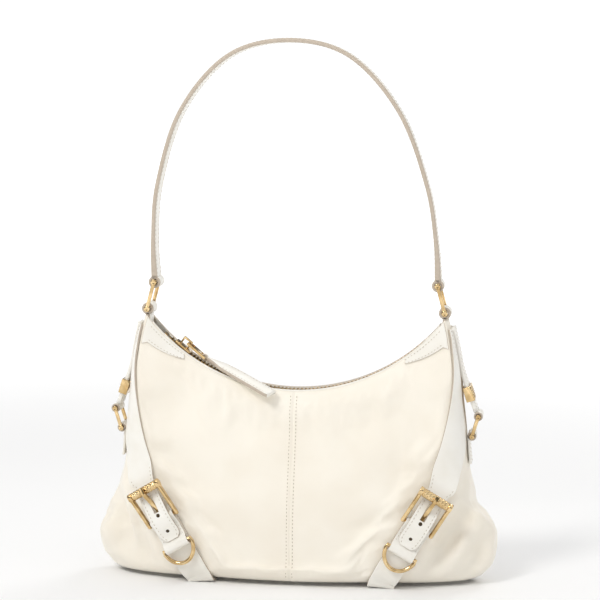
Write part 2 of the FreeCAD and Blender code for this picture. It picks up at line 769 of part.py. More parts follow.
def make_d_ring():
    """D-ring: a straight bar in the chape's foot and a round bow below it."""
    half = strap_width / 2 + 0.6 + d_wire / 2
    r = d_wire / 2
    x = -chape_length
    ring = bar(Vector(x, -half, d_level), Vector(x, half, d_level), r)
    bow = half
    squeeze = d_depth / bow
    torus = Part.makeTorus(bow, r, Vector(0, 0, 0), Vector(0, 0, 1))
    torus = torus.common(box(-bow - d_wire, 0, -bow - d_wire, bow + d_wire, -d_wire, d_wire))
    if abs(squeeze - 1) > 0.01:
        shrink = FreeCAD.Matrix()
        shrink.A11 = squeeze
        torus = torus.transformGeometry(shrink)
    torus.translate(Vector(x, 0, d_level))
    for side in (-1, 1):
        ring = ring.fuse(Part.makeSphere(r, Vector(x, side * half, d_level)))
    return to_buckle(ring.fuse(torus))


def make_lower_strap():
    """Strap sewn to the front below the buckle, down the wall, under the base and up the back."""
    down = [(at_buckle(along, 0, strap_lift), buckle_normal) for along in (8.0, -10.0, -22.0, -31.0)]
    last = down[-1][0]
    slant = buckle_up.x / buckle_up.z
    for z, tilt in ((13.0, 0.15), (8.0, 0.35), (4.0, 0.6)):
        x = last.x + (z - last.z) * slant
        down.append((Vector(x, -(face_y(x, z) + 0.9), z), Vector(0, -1, -tilt).normalize()))
    x = down[-1][0].x - 1.5
    edge = face_y(x, base_plate)
    turn = edge - 6.0
    under = -base_gap
    down.append((Vector(x, -(edge + 1.2), under), Vector(0, -1, -0.9).normalize()))
    down.append((Vector(x, -turn, under), Vector(0, 0, -1)))
    stations = []
    for i, (centre, normal) in enumerate(down):
        across = Vector(1, 0, 0)
        if i < len(down) - 2:
            across = normal.cross(down[max(i - 1, 0)][0] - down[i + 1][0]).normalize()
        stations.append((centre, across, normal, strap_width))
    wall = ribbon(stations, leather, True)
    half = strap_width / 2
    flat = box(x - half, x + half, -turn, turn, under - leather, under)
    return flat.fuse(wall).fuse(mirrored(wall, back=True)).removeSplitter()


# ---- side straps ------------------------------------------------------------------------------
side_loop_in = side_link_wire / 2 + pivot_play
side_loop_out = side_loop_in + thin_leather
tilt = math.radians(side_link_tilt)
side_lower_bar = Vector(side_x(side_link_height) + stand_off + side_loop_out + 0.3, 0,
                        side_link_height)
side_upper_bar = side_lower_bar + Vector(math.sin(tilt), 0, math.cos(tilt)) * side_link_pitch
strap_bend = Vector(side_x(keeper_height + 16) + stand_off + 0.6, 0, keeper_height + 16)
strap_end = side_upper_bar - Vector(side_loop_out, 0, 0)
strap_way = (strap_end - strap_bend).normalize()
keeper_foot = strap_bend + strap_way * ((strap_bend.z - keeper_height) / -strap_way.z)


def strip(points, thickness, width):
    """A strap through points in the XZ plane; its thickness is added on the outer side."""
    outer = []
    for i, here in enumerate(points):
        way = points[min(i + 1, len(points) - 1)] - points[max(i - 1, 0)]
        outer.append(here + Vector(-way.z, 0, way.x).normalize() * thickness)
    face = Part.Face(Part.makePolygon(points + outer[::-1] + points[:1]))
    solid = face.extrude(Vector(0, width, 0))
    solid.translate(Vector(0, -width / 2, 0))
    return solid


def looped(strap, place):
    """Adds a loop round a side link's bar to a strap."""
    start = place - Vector(0, side_width / 2, 0)
    loop = Part.makeCylinder(side_loop_out, side_width, start, Vector(0, 1, 0))
    bore = Part.makeCylinder(side_loop_in, side_width, start, Vector(0, 1, 0))
    return strap.fuse(loop).cut(bore).removeSplitter()


def make_side_strap():
    """Doubled strap from the upper corner through the keeper to the side link's upper bar."""
    top = corner_height - 8.0
    middle = (top + strap_bend.z) / 2
    points = [Vector(side_x(top) + stand_off, 0, top),
              Vector(side_x(middle) + stand_off + 0.1, 0, middle), strap_bend, strap_end]
    return looped(strip(points, 2 * thin_leather, side_width), side_upper_bar)


def make_side_tab():
    """Leather tab sewn to the side, with a loop round the side link's lower bar."""
    low = side_link_height - 21.0
    points = [side_lower_bar - Vector(side_loop_out, 0, 0)]
    points += [Vector(side_x(z) + stand_off + 0.2, 0, z) for z in (low + 14, low + 7, low)]
    return looped(strip(points, thin_leather, side_width), side_lower_bar)


def make_side_link():
    link = round_link(side_width + 1.6, side_link_pitch, side_link_wire, 2.4)
    link.rotate(Vector(0, 0, 0), Vector(0, 1, 0), side_link_tilt)
    link.translate(side_lower_bar)
    return link


def make_keeper():
    """Metal sleeve that slides on the side strap."""
    inner_x, inner_y = 2 * thin_leather + 2 * keeper_play, side_width + 2 * keeper_play
    wall = keeper_wall
    outer = box(-wall, inner_x + wall, -inner_y / 2 - wall, inner_y / 2 + wall,
                -keeper_length / 2, keeper_length / 2)
    sleeve = outer.cut(box(0, inner_x, -inner_y / 2, inner_y / 2, -keeper_length, keeper_length))
    sleeve.translate(Vector(-keeper_play, 0, 0))
    sleeve.rotate(Vector(0, 0, 0), Vector(0, 1, 0), -math.degrees(math.atan2(strap_way.x,
                                                                            -strap_way.z)))
    sleeve.translate(keeper_foot)
    return sleeve


# ---- assembly ---------------------------------------------------------------------------------
def build():
    parts = {}
    panel = face_panel(0, fabric, base_plate)
    parts["front_panel_right"] = panel
    parts["front_panel_left"] = mirrored(panel, left=True)
    parts["back_panel_right"] = mirrored(panel, back=True)
    parts["back_panel_left"] = mirrored(panel, left=True, back=True)
    side = side_panel(0, fabric, base_plate, side_top)
    parts["side_panel_right"] = side
    parts["side_panel_left"] = mirrored(side, left=True)
    parts["base_panel"] = plate(0, 0, base_plate)
    parts["base_board"] = plate(base_plate + 0.1, board_margin, board)
    parts["lining"] = make_lining()
    parts["inner_pocket"] = make_pocket()
    facing = make_trim()
    parts["mouth_trim_front"] = facing
    parts["mouth_trim_back"] = mirrored(facing, back=True)
    tape = zip_tape()
    parts["zip_tape_front"] = tape
    parts["zip_tape_back"] = mirrored(tape, back=True)
    parts["zip_teeth_front"] = teeth_row(0)
    parts["zip_teeth_back"] = mirrored(teeth_row(0.5), back=True)
    parts["zip_stops"] = zip_stops()
    parts["zip_slider"] = on_arc(make_slider(), -slider_rest)
    parts["pull_link"] = make_pull_link()
    parts["pull_tab"] = make_pull_tab()
    patch = make_corner_patch()
    parts["corner_patches_front"] = Part.Compound([patch, mirrored(patch, left=True)])
    parts["corner_patches_back"] = mirrored(parts["corner_patches_front"], back=True)
    pairs = {"corner_tab": make_corner_tab(), "handle_link": make_link(),
             "lower_strap": make_lower_strap(), "side_strap": make_side_strap(),
             "side_tab": make_side_tab(), "side_link": make_side_link(),
             "side_keeper": make_keeper()}
    for name, shape in pairs.items():
        parts[name + "_right"] = shape
        parts[name + "_left"] = mirrored(shape, left=True)
    parts["handle_strap"] = make_handle()
    fours = {"belt": make_belt(), "buckle_chape": make_chape(), "buckle_frame": make_frame(),
             "buckle_prong": make_prong(), "d_ring": make_d_ring()}
    for name, shape in fours.items():
        for face, back in (("front", False), ("back", True)):
            for hand, left in (("left", True), ("right", False)):
                parts[f"{name}_{face}_{hand}"] = mirrored(shape, left, back)
    for shape in parts.values():
        shape.translate(Vector(0, 0, floor_lift))
    return parts


parts = build()
os.makedirs("parts", exist_ok=True)
for name, shape in parts.items():
    shape.exportStep(f"parts/{name}.step")
print(len(parts), "nodes")
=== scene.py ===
import bmesh
import bpy
import json
import math
from mathutils import Matrix, Vector, noise
from mathutils.bvhtree import BVHTree

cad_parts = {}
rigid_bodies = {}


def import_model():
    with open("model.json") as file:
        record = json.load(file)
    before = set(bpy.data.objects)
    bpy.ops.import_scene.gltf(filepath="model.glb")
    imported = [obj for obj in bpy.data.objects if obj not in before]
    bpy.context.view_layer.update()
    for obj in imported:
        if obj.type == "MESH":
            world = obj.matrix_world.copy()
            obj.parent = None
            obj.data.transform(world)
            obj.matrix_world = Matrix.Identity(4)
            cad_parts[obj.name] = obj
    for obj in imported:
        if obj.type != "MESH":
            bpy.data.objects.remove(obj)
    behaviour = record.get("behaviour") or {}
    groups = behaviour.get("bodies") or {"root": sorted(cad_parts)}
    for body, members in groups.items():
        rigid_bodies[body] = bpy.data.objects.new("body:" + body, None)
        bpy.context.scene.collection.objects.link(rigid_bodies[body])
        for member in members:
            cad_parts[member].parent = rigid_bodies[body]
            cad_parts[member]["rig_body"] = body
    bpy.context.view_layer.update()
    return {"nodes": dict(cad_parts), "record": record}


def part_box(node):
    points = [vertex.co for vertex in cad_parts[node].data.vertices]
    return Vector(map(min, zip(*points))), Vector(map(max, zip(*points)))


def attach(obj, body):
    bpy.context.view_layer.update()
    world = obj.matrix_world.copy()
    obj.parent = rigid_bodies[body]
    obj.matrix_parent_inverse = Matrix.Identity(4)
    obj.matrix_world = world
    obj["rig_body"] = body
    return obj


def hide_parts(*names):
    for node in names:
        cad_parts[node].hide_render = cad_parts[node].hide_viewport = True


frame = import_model()
MM = 0.001
scene = bpy.context.scene


def unit(value):
    """The value, kept between 0 and 1."""
    return min(max(value, 0.0), 1.0)


# %% [markdown]
# ## Camera
# A product picture is taken from far away with a long lens, so that upright things stay upright.
# The camera stands a little to the right of the bag's middle and looks slightly down.
# %% Camera
target = Vector((0.003, 0.0, 0.2095))
distance, view_height, sensor = 1.38, 0.4476, 36.0
turn, rise = math.radians(8.0), math.radians(6.5)
eye = target + distance * Vector((math.sin(turn) * math.cos(rise), -math.cos(turn) * math.cos(rise),
                                  math.sin(rise)))
lens = bpy.data.cameras.new("camera")
lens.sensor_width = sensor
lens.lens = sensor * distance / view_height
lens.clip_end = 50
camera = bpy.data.objects.new("camera", lens)
camera.location = eye
camera.rotation_euler = (target - eye).to_track_quat("-Z", "Y").to_euler()
scene.collection.objects.link(camera)
scene.camera = camera
scene.view_settings.view_transform = "Standard"
print("camera at", [round(v, 3) for v in eye])

# %% [markdown]
# ## Materials as sums
# A finish is easier to read when it is written as a sum. `Value` wraps a socket, so that `+` and `*`
# add the Math nodes for us, and `Finish` adds any other node and sets the shader.
# %% Shader helpers
class Value:
    """A number, colour or vector that comes out of a node."""

    def __init__(self, finish, socket):
        self.finish = finish
        self.socket = socket

    def math(self, operation, *others):
        return self.finish.node("ShaderNodeMath", {"operation": operation}, dict(enumerate((self, *others))))

    def __add__(self, other):
        return self.math("ADD", other)

    def __mul__(self, other):
        return self.math("MULTIPLY", other)

    def over(self, low, high):
        """0 below low, 1 above high and a smooth step between them."""
        return self.finish.node("ShaderNodeMapRange", {"interpolation_type": "SMOOTHSTEP"},
                                {0: self, 1: low, 2: high})

    __radd__ = __add__
    __rmul__ = __mul__


class Finish:
    """A material that is built from the nodes that its maker asks for."""

    def __init__(self, name, **constants):
        self.material = bpy.data.materials.new(name)
        self.material.use_nodes = True
        self.tree = self.material.node_tree
        self.shader = self.tree.nodes["Principled BSDF"]
        self.place = self.node("ShaderNodeTexCoord", {}, {}, "Object")
        for key, value in constants.items():
            self.shader.inputs[key.replace("_", " ")].default_value = value

    def node(self, kind, settings, inputs, output=0):
        made = self.tree.nodes.new(kind)
        for key, value in settings.items():
            setattr(made, key, value)
        for key, value in inputs.items():
            if isinstance(value, Value):
                self.tree.links.new(value.socket, made.inputs[key])
            else:
                made.inputs[key].default_value = value
        return Value(self, made.outputs[output])

    def mix(self, factor, first, second):
        """A blend of two colours."""
        return self.node("ShaderNodeMix", {"data_type": "RGBA"},
                         {0: factor, 6: (*first, 1.0), 7: (*second, 1.0)}, 2)

    def noise(self, size, detail=2.0):
        """Soft random marks about this size in millimetres."""
        return self.node("ShaderNodeTexNoise", {}, {"Vector": self.place, "Scale": 1 / (size * MM),
                                                    "Detail": detail})

    def cells(self, size):
        """Pebbles about this size in millimetres."""
        return self.node("ShaderNodeTexVoronoi", {}, {"Vector": self.place, "Scale": 1 / (size * MM)},
                         "Distance")

    def stripes(self, size, direction):
        """Even ribs this far apart in millimetres, along one axis."""
        return self.node("ShaderNodeTexWave", {"bands_direction": direction},
                         {"Vector": self.place, "Scale": 0.314 / (size * MM)}, "Fac")

    def bump(self, height, depth, strength=1.0):
        """Feeds a height into the normal. depth is in millimetres."""
        made = self.node("ShaderNodeBump", {}, {"Strength": strength, "Distance": depth * MM,
                                                "Height": height}, "Normal")
        self.tree.links.new(made.socket, self.shader.inputs["Normal"])

    def set(self, socket, value):
        self.tree.links.new(value.socket, self.shader.inputs[socket])

    def colour(self, factor, first, second):
        self.set("Base Color", self.mix(factor, first, second))

    def rough(self, value):
        self.set("Roughness", value)


# %% [markdown]
# ## Fabric
# The body is a satin nylon: a very fine weave with a soft sheen. Two fine sets of ribs make the weave,
# and a large soft noise keeps the colour from being perfectly even.
# %% Fabric finishes
nylon = Finish("ivory_nylon", Sheen_Weight=0.35, Sheen_Roughness=0.4, Specular_IOR_Level=0.35)
cloudy = nylon.noise(38.0, 3.0)
nylon.colour(cloudy.over(0.3, 0.7), (0.915, 0.855, 0.745), (0.945, 0.895, 0.795))
weave = nylon.stripes(0.45, "X") * nylon.stripes(0.45, "Z")
nylon.rough(nylon.noise(9.0) * 0.12 + weave * 0.06 + 0.46)
nylon.bump(weave * 0.6 + nylon.noise(2.2, 4.0) * 0.8, 0.05, 0.6)

cotton = Finish("beige_lining", Specular_IOR_Level=0.2)
cotton.colour(cotton.noise(1.4, 3.0), (0.62, 0.56, 0.46), (0.74, 0.68, 0.58))
cotton.rough(cotton.noise(4.0) * 0.1 + 0.8)
cotton.bump(cotton.stripes(0.7, "X") + cotton.stripes(0.7, "Z"), 0.08, 0.7)

zip_cloth = Finish("zip_tape", Specular_IOR_Level=0.25)
rib = zip_cloth.stripes(0.8, "DIAGONAL")
zip_cloth.colour(rib, (0.76, 0.70, 0.59), (0.86, 0.81, 0.70))
zip_cloth.rough(rib * 0.1 + 0.7)
zip_cloth.bump(rib, 0.12, 0.8)

board = Finish("base_stiffener", Specular_IOR_Level=0.2)
board.colour(board.noise(2.0, 4.0), (0.20, 0.18, 0.15), (0.28, 0.25, 0.21))
board.rough(board.noise(3.0) * 0.1 + 0.8)
board.bump(board.noise(0.8, 3.0), 0.1)
print("fabric finishes made")

# %% [markdown]
# ## Leather and its painted edge
# The belts are smooth white leather. Its grain is a net of tiny pebbles with a few soft creases. The cut
# edges are painted taupe, which draws every outline of the bag.
# %% Leather finishes
hide = Finish("white_leather", Specular_IOR_Level=0.5, Coat_Roughness=0.35)
pores = hide.cells(0.55) * 0.7 + hide.cells(1.3) * 0.5
tone = hide.noise(22.0, 3.0).over(0.3, 0.75)
hide.colour(tone, (0.88, 0.85, 0.775), (0.925, 0.905, 0.85))
hide.rough(hide.noise(6.0) * 0.14 + pores * 0.08 + 0.36)
hide.set("Coat Weight", hide.noise(14.0) * 0.2)
hide.bump(pores * 0.5 + hide.noise(5.0, 3.0) * 0.6, 0.09, 0.55)

edge_paint = Finish("taupe_edge_paint", Specular_IOR_Level=0.4)
streak = edge_paint.noise(3.5, 3.0)
edge_paint.colour(streak, (0.47, 0.395, 0.315), (0.60, 0.52, 0.43))
edge_paint.rough(streak * 0.15 + 0.42)
edge_paint.bump(edge_paint.noise(1.2, 2.0), 0.08, 0.5)

thread = Finish("waxed_thread", Specular_IOR_Level=0.3)
twist = thread.stripes(0.5, "DIAGONAL")
thread.colour(twist, (0.50, 0.44, 0.35), (0.70, 0.64, 0.54))
thread.rough(twist * 0.1 + 0.55)
thread.bump(twist, 0.06, 0.8)
dull_thread = Finish("seam_thread", Specular_IOR_Level=0.2)
dull_thread.colour(dull_thread.noise(1.0), (0.40, 0.34, 0.25), (0.55, 0.48, 0.37))
dull_thread.rough(dull_thread.noise(1.0) * 0.1 + 0.6)
dull_thread.bump(dull_thread.stripes(0.5, "DIAGONAL"), 0.06, 0.8)
print("leather finishes made")

# %% [markdown]
# ## Gold plating
# Polished plating is a metal colour with painted reflections: its colour is blotched dark and bright where
# reflections would fall, and its polish varies a little from handling. The knurled bars carry a diamond
# pattern, which is real geometry and comes further down.
# %% Metal finishes
gold = Finish("pale_gold", Metallic=1.0)
painted_reflection_and_polish = gold.noise(9.0, 2.0)
# The dark and bright gold blotches in the colour are painted reflections; the same noise also varies the
# polish.
gold.colour(painted_reflection_and_polish.over(0.30, 0.72), (0.56, 0.38, 0.17), (0.86, 0.65, 0.36))
gold.rough(painted_reflection_and_polish * 0.08 + gold.noise(0.6, 2.0) * 0.04 + 0.05)
gold.bump(gold.noise(1.6, 3.0), 0.02, 0.35)

hole_dark = Finish("hole_shadow", Specular_IOR_Level=0.1)
hole_dark.colour(hole_dark.noise(0.5), (0.05, 0.035, 0.02), (0.09, 0.065, 0.04))
hole_dark.rough(hole_dark.noise(0.5) * 0.1 + 0.8)
slots = {"fabric": nylon, "leather": hide, "lining": cotton, "zip_tape": zip_cloth, "board": board,
         "metal": gold}
print("metal finishes made")

# %% [markdown]
# ## Finishing a piece
# Every piece is a mesh at the origin with its place in its vertices. It rides on one body of the packed
# model, and it says which nodes of that model it stands for.
# %% Piece helpers
def piece(name, bm, finishes, body, replaces=()):
    """Turns a bmesh into a finished piece."""
    mesh = bpy.data.meshes.new(name)
    for face in bm.faces:
        face.smooth = True
    bm.to_mesh(mesh)
    bm.free()
    made = bpy.data.objects.new(name, mesh)
    scene.collection.objects.link(made)
    for finish in finishes:
        mesh.materials.append(finish.material)
    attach(made, body)
    if replaces:
        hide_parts(*replaces)
    return made


def rounded(made, width, angle=35.0):
    """Breaks sharp edges with a small bevel."""
    soft = made.modifiers.new("broken_edges", "BEVEL")
    soft.width = width * MM
    soft.segments = 2
    soft.limit_method = "ANGLE"
    soft.angle_limit = math.radians(angle)
    soft.harden_normals = True
    return made


def copy_of(mesh):
    """A bmesh with a mesh's faces."""
    bm = bmesh.new()
    bm.from_mesh(mesh)
    return bm


def sealed(bm, sides, near=1e-6):
    """Merges the seams of a swept skin and fills its open ends."""
    bmesh.ops.remove_doubles(bm, verts=bm.verts, dist=near)
    open_edges = [e for e in bm.edges if e.is_boundary]
    if open_edges:
        bmesh.ops.holes_fill(bm, edges=open_edges, sides=sides)


def join(bm, made):
    """Adds the faces of one bmesh to another."""
    mesh = bpy.data.meshes.new("part")
    made.to_mesh(mesh)
    made.free()
    bm.from_mesh(mesh)
    bpy.data.meshes.remove(mesh)


def walled(made, thickness, offset=1.0, even=False, rim=1):
    """Gives a sheet its thickness in millimetres. rim is how far its cut edges' finish is down the list."""
    wall = made.modifiers.new("thickness", "SOLIDIFY")
    wall.thickness = thickness * MM
    wall.offset = offset
    wall.use_even_offset = even
    wall.material_offset_rim = rim
    return made


def gilded(name, bm, body, *nodes):
    """A piece of gold hardware."""
    return piece(name, bm, (gold,), body, nodes)


def outward(bm, direction):
    """Turns an open sheet so that its faces look along a direction."""
    bm.normal_update()
    if sum((f.normal * f.calc_area() for f in bm.faces), Vector()).dot(direction) < 0:
        bmesh.ops.reverse_faces(bm, faces=bm.faces[:])


def sheet_of(rows):
    """A grid of faces through rows of points."""
    bm = bmesh.new()
    ni, nj = len(rows) - 1, len(rows[0]) - 1
    bmesh.ops.create_grid(bm, x_segments=ni, y_segments=nj, size=1.0)
    for v in bm.verts:
        v.co = rows[round((v.co.x + 1) / 2 * ni)][round((v.co.y + 1) / 2 * nj)]
    return bm


def eased(rows, steps):
    """More rows on smooth curves through the given rows."""
    made = []
    for i in range(len(rows) - 1):
        a, b, c, d = (rows[min(max(k, 0), len(rows) - 1)] for k in (i - 1, i, i + 1, i + 2))
        for s in range(steps):
            t = s / steps
            made.append([0.5 * ((2 * q) + (r - p) * t + (2 * p - 5 * q + 4 * r - w) * t * t
                                + (3 * q - p - 3 * r + w) * t ** 3) for p, q, r, w in zip(a, b, c, d)])
    return made + [rows[-1]]


def strap(name, rows, thickness, body, replaces, face, soft):
    """A leather strap whose inner face passes through rows of points; its cut edges are painted."""
    bm = sheet_of(rows)
    outward(bm, face)
    made = piece(name, bm, (hide, edge_paint), body, replaces)
    return rounded(walled(made, thickness, even=True), soft, 50.0)


def lengths(points):
    """How far along a path each of its points is."""
    runs = [0.0]
    for a, b in zip(points, points[1:]):
        runs.append(runs[-1] + (b - a).length)
    return runs


def heading(path, i):
    """The way a path runs at one of its points."""
    return (path[min(i + 1, len(path) - 1)] - path[max(i - 1, 0)]).normalized()


def finished(node, width, finish):
    """A clean copy of a node with broken edges."""
    bm = copy_of(frame["nodes"][node].data)
    bmesh.ops.remove_doubles(bm, verts=bm.verts, dist=1e-6)
    bmesh.ops.dissolve_limit(bm, angle_limit=math.radians(2.0), verts=bm.verts, edges=bm.edges)
    slot = next(s["material_slot"] for s in frame["record"]["subparts"] if s["node"] == node)
    made = piece(node + "_finished", bm, (finish,), frame["nodes"][node]["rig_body"], (node,))
    return rounded(made, width)


for node in frame["nodes"].values():
    name = next(s["material_slot"] for s in frame["record"]["subparts"] if s["node"] == node.name)
    node.data.materials.clear()
    node.data.materials.append(slots[name].material)
print("every node has its finish")

# %% [markdown]
# ## The shape of the bag
# Every soft piece lies on the same surface, so the surface comes first. It is written in millimetres:
# how wide the bag is at a height, how deep it is there, and how its two pointed ears stand out.
# %% Shape of the body
def smooth_curve(points):
    """A function through (place, value) points that turns smoothly at each of them."""
    def slope(i):
        before, after = points[max(i - 1, 0)], points[min(i + 1, len(points) - 1)]
        return (after[1] - before[1]) / (after[0] - before[0])

    def value(place):
        place = min(max(place, points[0][0]), points[-1][0])
        i = max(k for k in range(len(points) - 1) if points[k][0] <= place)
        (t0, v0), (t1, v1) = points[i], points[i + 1]
        s = (place - t0) / (t1 - t0)
        return ((2 * s ** 3 - 3 * s ** 2 + 1) * v0 + (s ** 3 - 2 * s ** 2 + s) * slope(i) * (t1 - t0)
                + (3 * s ** 2 - 2 * s ** 3) * v1 + (s ** 3 - s ** 2) * slope(i + 1) * (t1 - t0))
    return value


corner_height, mouth_height, half_span = 195.0, 140.0, 111.5
half_depth, half_mouth, base_round, floor_lift = 41.0, 9.5, 14.0, 2.1
arc_radius = (half_span ** 2 + 55.0 ** 2) / 110.0
arc_height = mouth_height + arc_radius
edge_share = smooth_curve([(0.0, 0.52), (0.2, 0.755), (0.4, 0.90), (0.58, 1.0), (0.78, 1.05),
                           (0.92, 1.03), (1.0, 1.0)])
ear_share = smooth_curve([(0.0, 1.15), (0.13, 1.0), (0.24, 0.78), (0.34, 0.53), (0.45, 0.35),
                          (0.56, 0.235), (0.65, 0.15), (0.75, 0.085), (0.87, 0.05), (1.0, 0.035)])


def edge_x(z):
    """Where the front face ends and the side begins."""
    return half_span * edge_share(z / corner_height)


def round_in(z):
    """How far the walls have turned inwards near the base."""
    return base_round - math.sqrt(base_round ** 2 - (base_round - min(max(z, 0.0), base_round)) ** 2)


def side_x(z):
    """The side's outline."""
    reach = 151.0 - edge_x(0.13 * corner_height)
    return edge_x(z) + reach * ear_share(z / corner_height) - round_in(z)


def mouth_z(x):
    """Height of the mouth's edge."""
    return arc_height - math.sqrt(arc_radius ** 2 - min(abs(x), 0.98 * arc_radius) ** 2)


def face_y(x, z):
    """Half the depth of the bag at a place on its face."""
    across = min(abs(x) / edge_x(z), 1.0)
    full = half_depth * (1 - 0.13 * across ** 2)
    fullness = 1 - min(max(z, 0.0) / mouth_z(x), 1.0) ** (2.5 - 0.9 * across ** 2)
    return half_mouth + (full - half_mouth) * fullness - round_in(z)


def face_point(across, up, inset=0.0, low=0.0):
    """A point of the front face: across is -1 to 1, up is 0 at the bottom and 1 at the mouth."""
    z = low + (corner_height - low) * up
    for _ in range(30):
        z = low + (mouth_z(across * edge_x(z)) - low) * up
    x = across * edge_x(z)
    return Vector((x, -(face_y(x, z) - inset), z))


def side_point(around, z, inset=0.0):
    """A point of the right side: around is -1 at the front face, 0 in the middle, 1 at the back."""
    angle = math.radians(90 * around)
    edge = edge_x(z)
    reach = max(side_x(z) - edge - inset, 0.2)
    return Vector((edge + reach * max(math.cos(angle), 0.0) ** 1.25,
                   (face_y(edge, z) - inset) * math.sin(angle), z))


def side_normal(around, z):
    """Unit vector out of the right side at a point."""
    along = side_point(around + 0.02, z) - side_point(around - 0.02, z)
    return along.cross(side_point(around, z + 1) - side_point(around, z - 1)).normalized()


def real(point, left=False, back=False):
    """A point of the right front quarter in metres, standing on the floor, on any quarter."""
    return Vector((-point.x if left else point.x, -point.y if back else point.y, point.z + floor_lift)) * MM


def turned(way, left=False, back=False):
    """A direction of the right front quarter on any quarter."""
    return Vector((-way.x if left else way.x, -way.y if back else way.y, way.z))


def on_face(x, z, proud, left=False, back=False):
    """A point this far out of the front face on any quarter, in metres."""
    return real(Vector((x, -(face_y(x, z) + proud), z)), left, back)


print("mouth radius", round(arc_radius, 1), "mm, widest", round(2 * side_x(25)), "mm")

# %% [markdown]
# ## The frame of a buckle
# A buckle sits square on the fabric. We find its own directions once: up the belt, across it and out of
# the bag. A point is then given by three short numbers, and mirrored for the other three buckles.
# %% Buckle directions
buckle_height, buckle_out, belt_slope = 46.0, 94.0, math.radians(58.6)
pivot_around = -math.degrees(math.acos(((buckle_out - edge_x(buckle_height)) /
                                        (side_x(buckle_height) - edge_x(buckle_height))) ** 0.8)) / 90
pivot_foot = side_point(pivot_around, buckle_height)
buckle_normal = side_normal(pivot_around, buckle_height)
flat_way = Vector((math.cos(belt_slope), 0, math.sin(belt_slope)))
buckle_up = (flat_way - buckle_normal * flat_way.dot(buckle_normal)).normalized()
buckle_across = buckle_normal.cross(buckle_up).normalized()
leather, thin_leather, stand_off = 1.8, 1.5, 0.35
strap_lift = stand_off + 0.15
base_lift = strap_lift + leather + 0.3
pivot_radius, roller_radius, play = 1.25, 3.4, 0.35
pivot_level = base_lift + thin_leather + pivot_radius + play
roller_level = pivot_level + 5.4
d_level = base_lift + thin_leather + 1.5 + play
loop_top = pivot_level + pivot_radius + play + thin_leather
both_sides, both_ends = (("right", False), ("left", True)), (("front", False), ("back", True))
quarters = [(end + "_" + side, left, back) for end, back in both_ends for side, left in both_sides]


def at_buckle(along, across, out):
    return pivot_foot + buckle_up * along + buckle_across * across + buckle_normal * out


def to_buckle(bm, left, back):
    """Carries a shape drawn with X up the belt, Y across it and Z out of the bag to a quarter."""
    for v in bm.verts:
        v.co = real(at_buckle(*v.co), left, back)
    bmesh.ops.recalc_face_normals(bm, faces=bm.faces)
    return bm


print("buckle faces", [round(v, 3) for v in buckle_normal])

# %% [markdown]
# ## The fabric body
# The body is one closed shell: front, two sides and back, all soft. A ring of columns is placed on the
# surface, and the deep folds beside the ears are pressed in, because they are where the fabric
# was gathered under the belts. A cloth simulation then lets the slack fall into its own small creases.
# The edge of the mouth, the base and everything under the belts is pinned, as sewing pins it.
# %% Fabric shell
fronts, sides, levels = 60, 36, 46


def ring_row(up, inset=0.0, low=0.3):
    """One row of points all the way round the bag."""
    front = [face_point(-1 + 2 * i / fronts, up, inset, low) for i in range(fronts)]
    height = face_point(1.0, up, inset, low).z
    right = [side_point(-1 + 2 * i / sides, height, inset) for i in range(sides)]
    half = front + right
    turned = [Vector((-p.x, -p.y, p.z)) for p in half]
    return [real(p) for p in half + turned + half[:1]]


shell = sheet_of([ring_row((i / levels) ** 1.08) for i in range(levels + 1)])
bmesh.ops.remove_doubles(shell, verts=shell.verts, dist=1e-5)
bmesh.ops.recalc_face_normals(shell, faces=shell.faces)
print("fabric cells", len(shell.faces))

# %% Where the folds are
right_folds = [(116, 84, 138, 96, -3.0, 5), (110, 60, 138, 84, -7.0, 5.5), (122, 66, 138, 78, 2.0, 5),
               (104, 16, 136, 66, -11.0, 6.5), (122, 26, 145, 58, 4.5, 6.5), (126, 4, 147, 36, -8.0, 6.0),
               (112, 92, 124, 122, -2.0, 7), (98, 2, 112, 34, -5.0, 5), (138, 6, 150, 24, 3.0, 5)]
left_folds = [(118, 78, 136, 104, -3.0, 5), (108, 55, 138, 84, -6.0, 5.5), (126, 12, 138, 66, -12.0, 6.5),
              (108, 2, 120, 50, -7.0, 5.5), (138, 14, 150, 44, 4.0, 6), (116, 26, 127, 62, 4.5, 5),
              (132, 2, 146, 18, -5.0, 5)]
front_folds = [(-100, 98, -66, 70, -1.6, 8), (-84, 50, -52, 38, -3.0, 4.0), (-82, 42, -56, 30, -2.0, 4),
               (-84, 58, -40, 60, 1.4, 7), (-106, 160, -74, 144, -1.2, 9), (-60, 140, -20, 118, -1.3, 12),
               (80, 50, 48, 42, -3.4, 4.5), (82, 42, 56, 30, -2.2, 4), (84, 60, 44, 62, 1.5, 7),
               (92, 74, 70, 92, -2.0, 8), (20, 128, 84, 126, -1.0, 10), (100, 150, 72, 160, -1.0, 9),
               (-40, 24, 40, 20, -1.2, 12), (-30, 78, 30, 88, -0.6, 14)]


def fold_depth(x, z, folds):
    """How far the fabric is pressed in or pushed out by these folds at a place."""
    depth = 0.0
    for x0, z0, x1, z1, deep, wide in folds:
        run = Vector((x1 - x0, z1 - z0))
        share = unit((Vector((x - x0, z - z0)).dot(run)) / run.length_squared)
        away = (Vector((x - x0, z - z0)) - run * share).length
        fade = 0.35 + 0.65 * math.sin(math.pi * unit(share)) ** 0.7
        depth += deep * fade * math.exp(-(away / wide) ** 2)
    return depth


belt_width = 25.0
sewn_share = smooth_curve([(0.3, 1.0), (0.53, 0.9), (0.69, 0.53), (0.95, 0.13)])


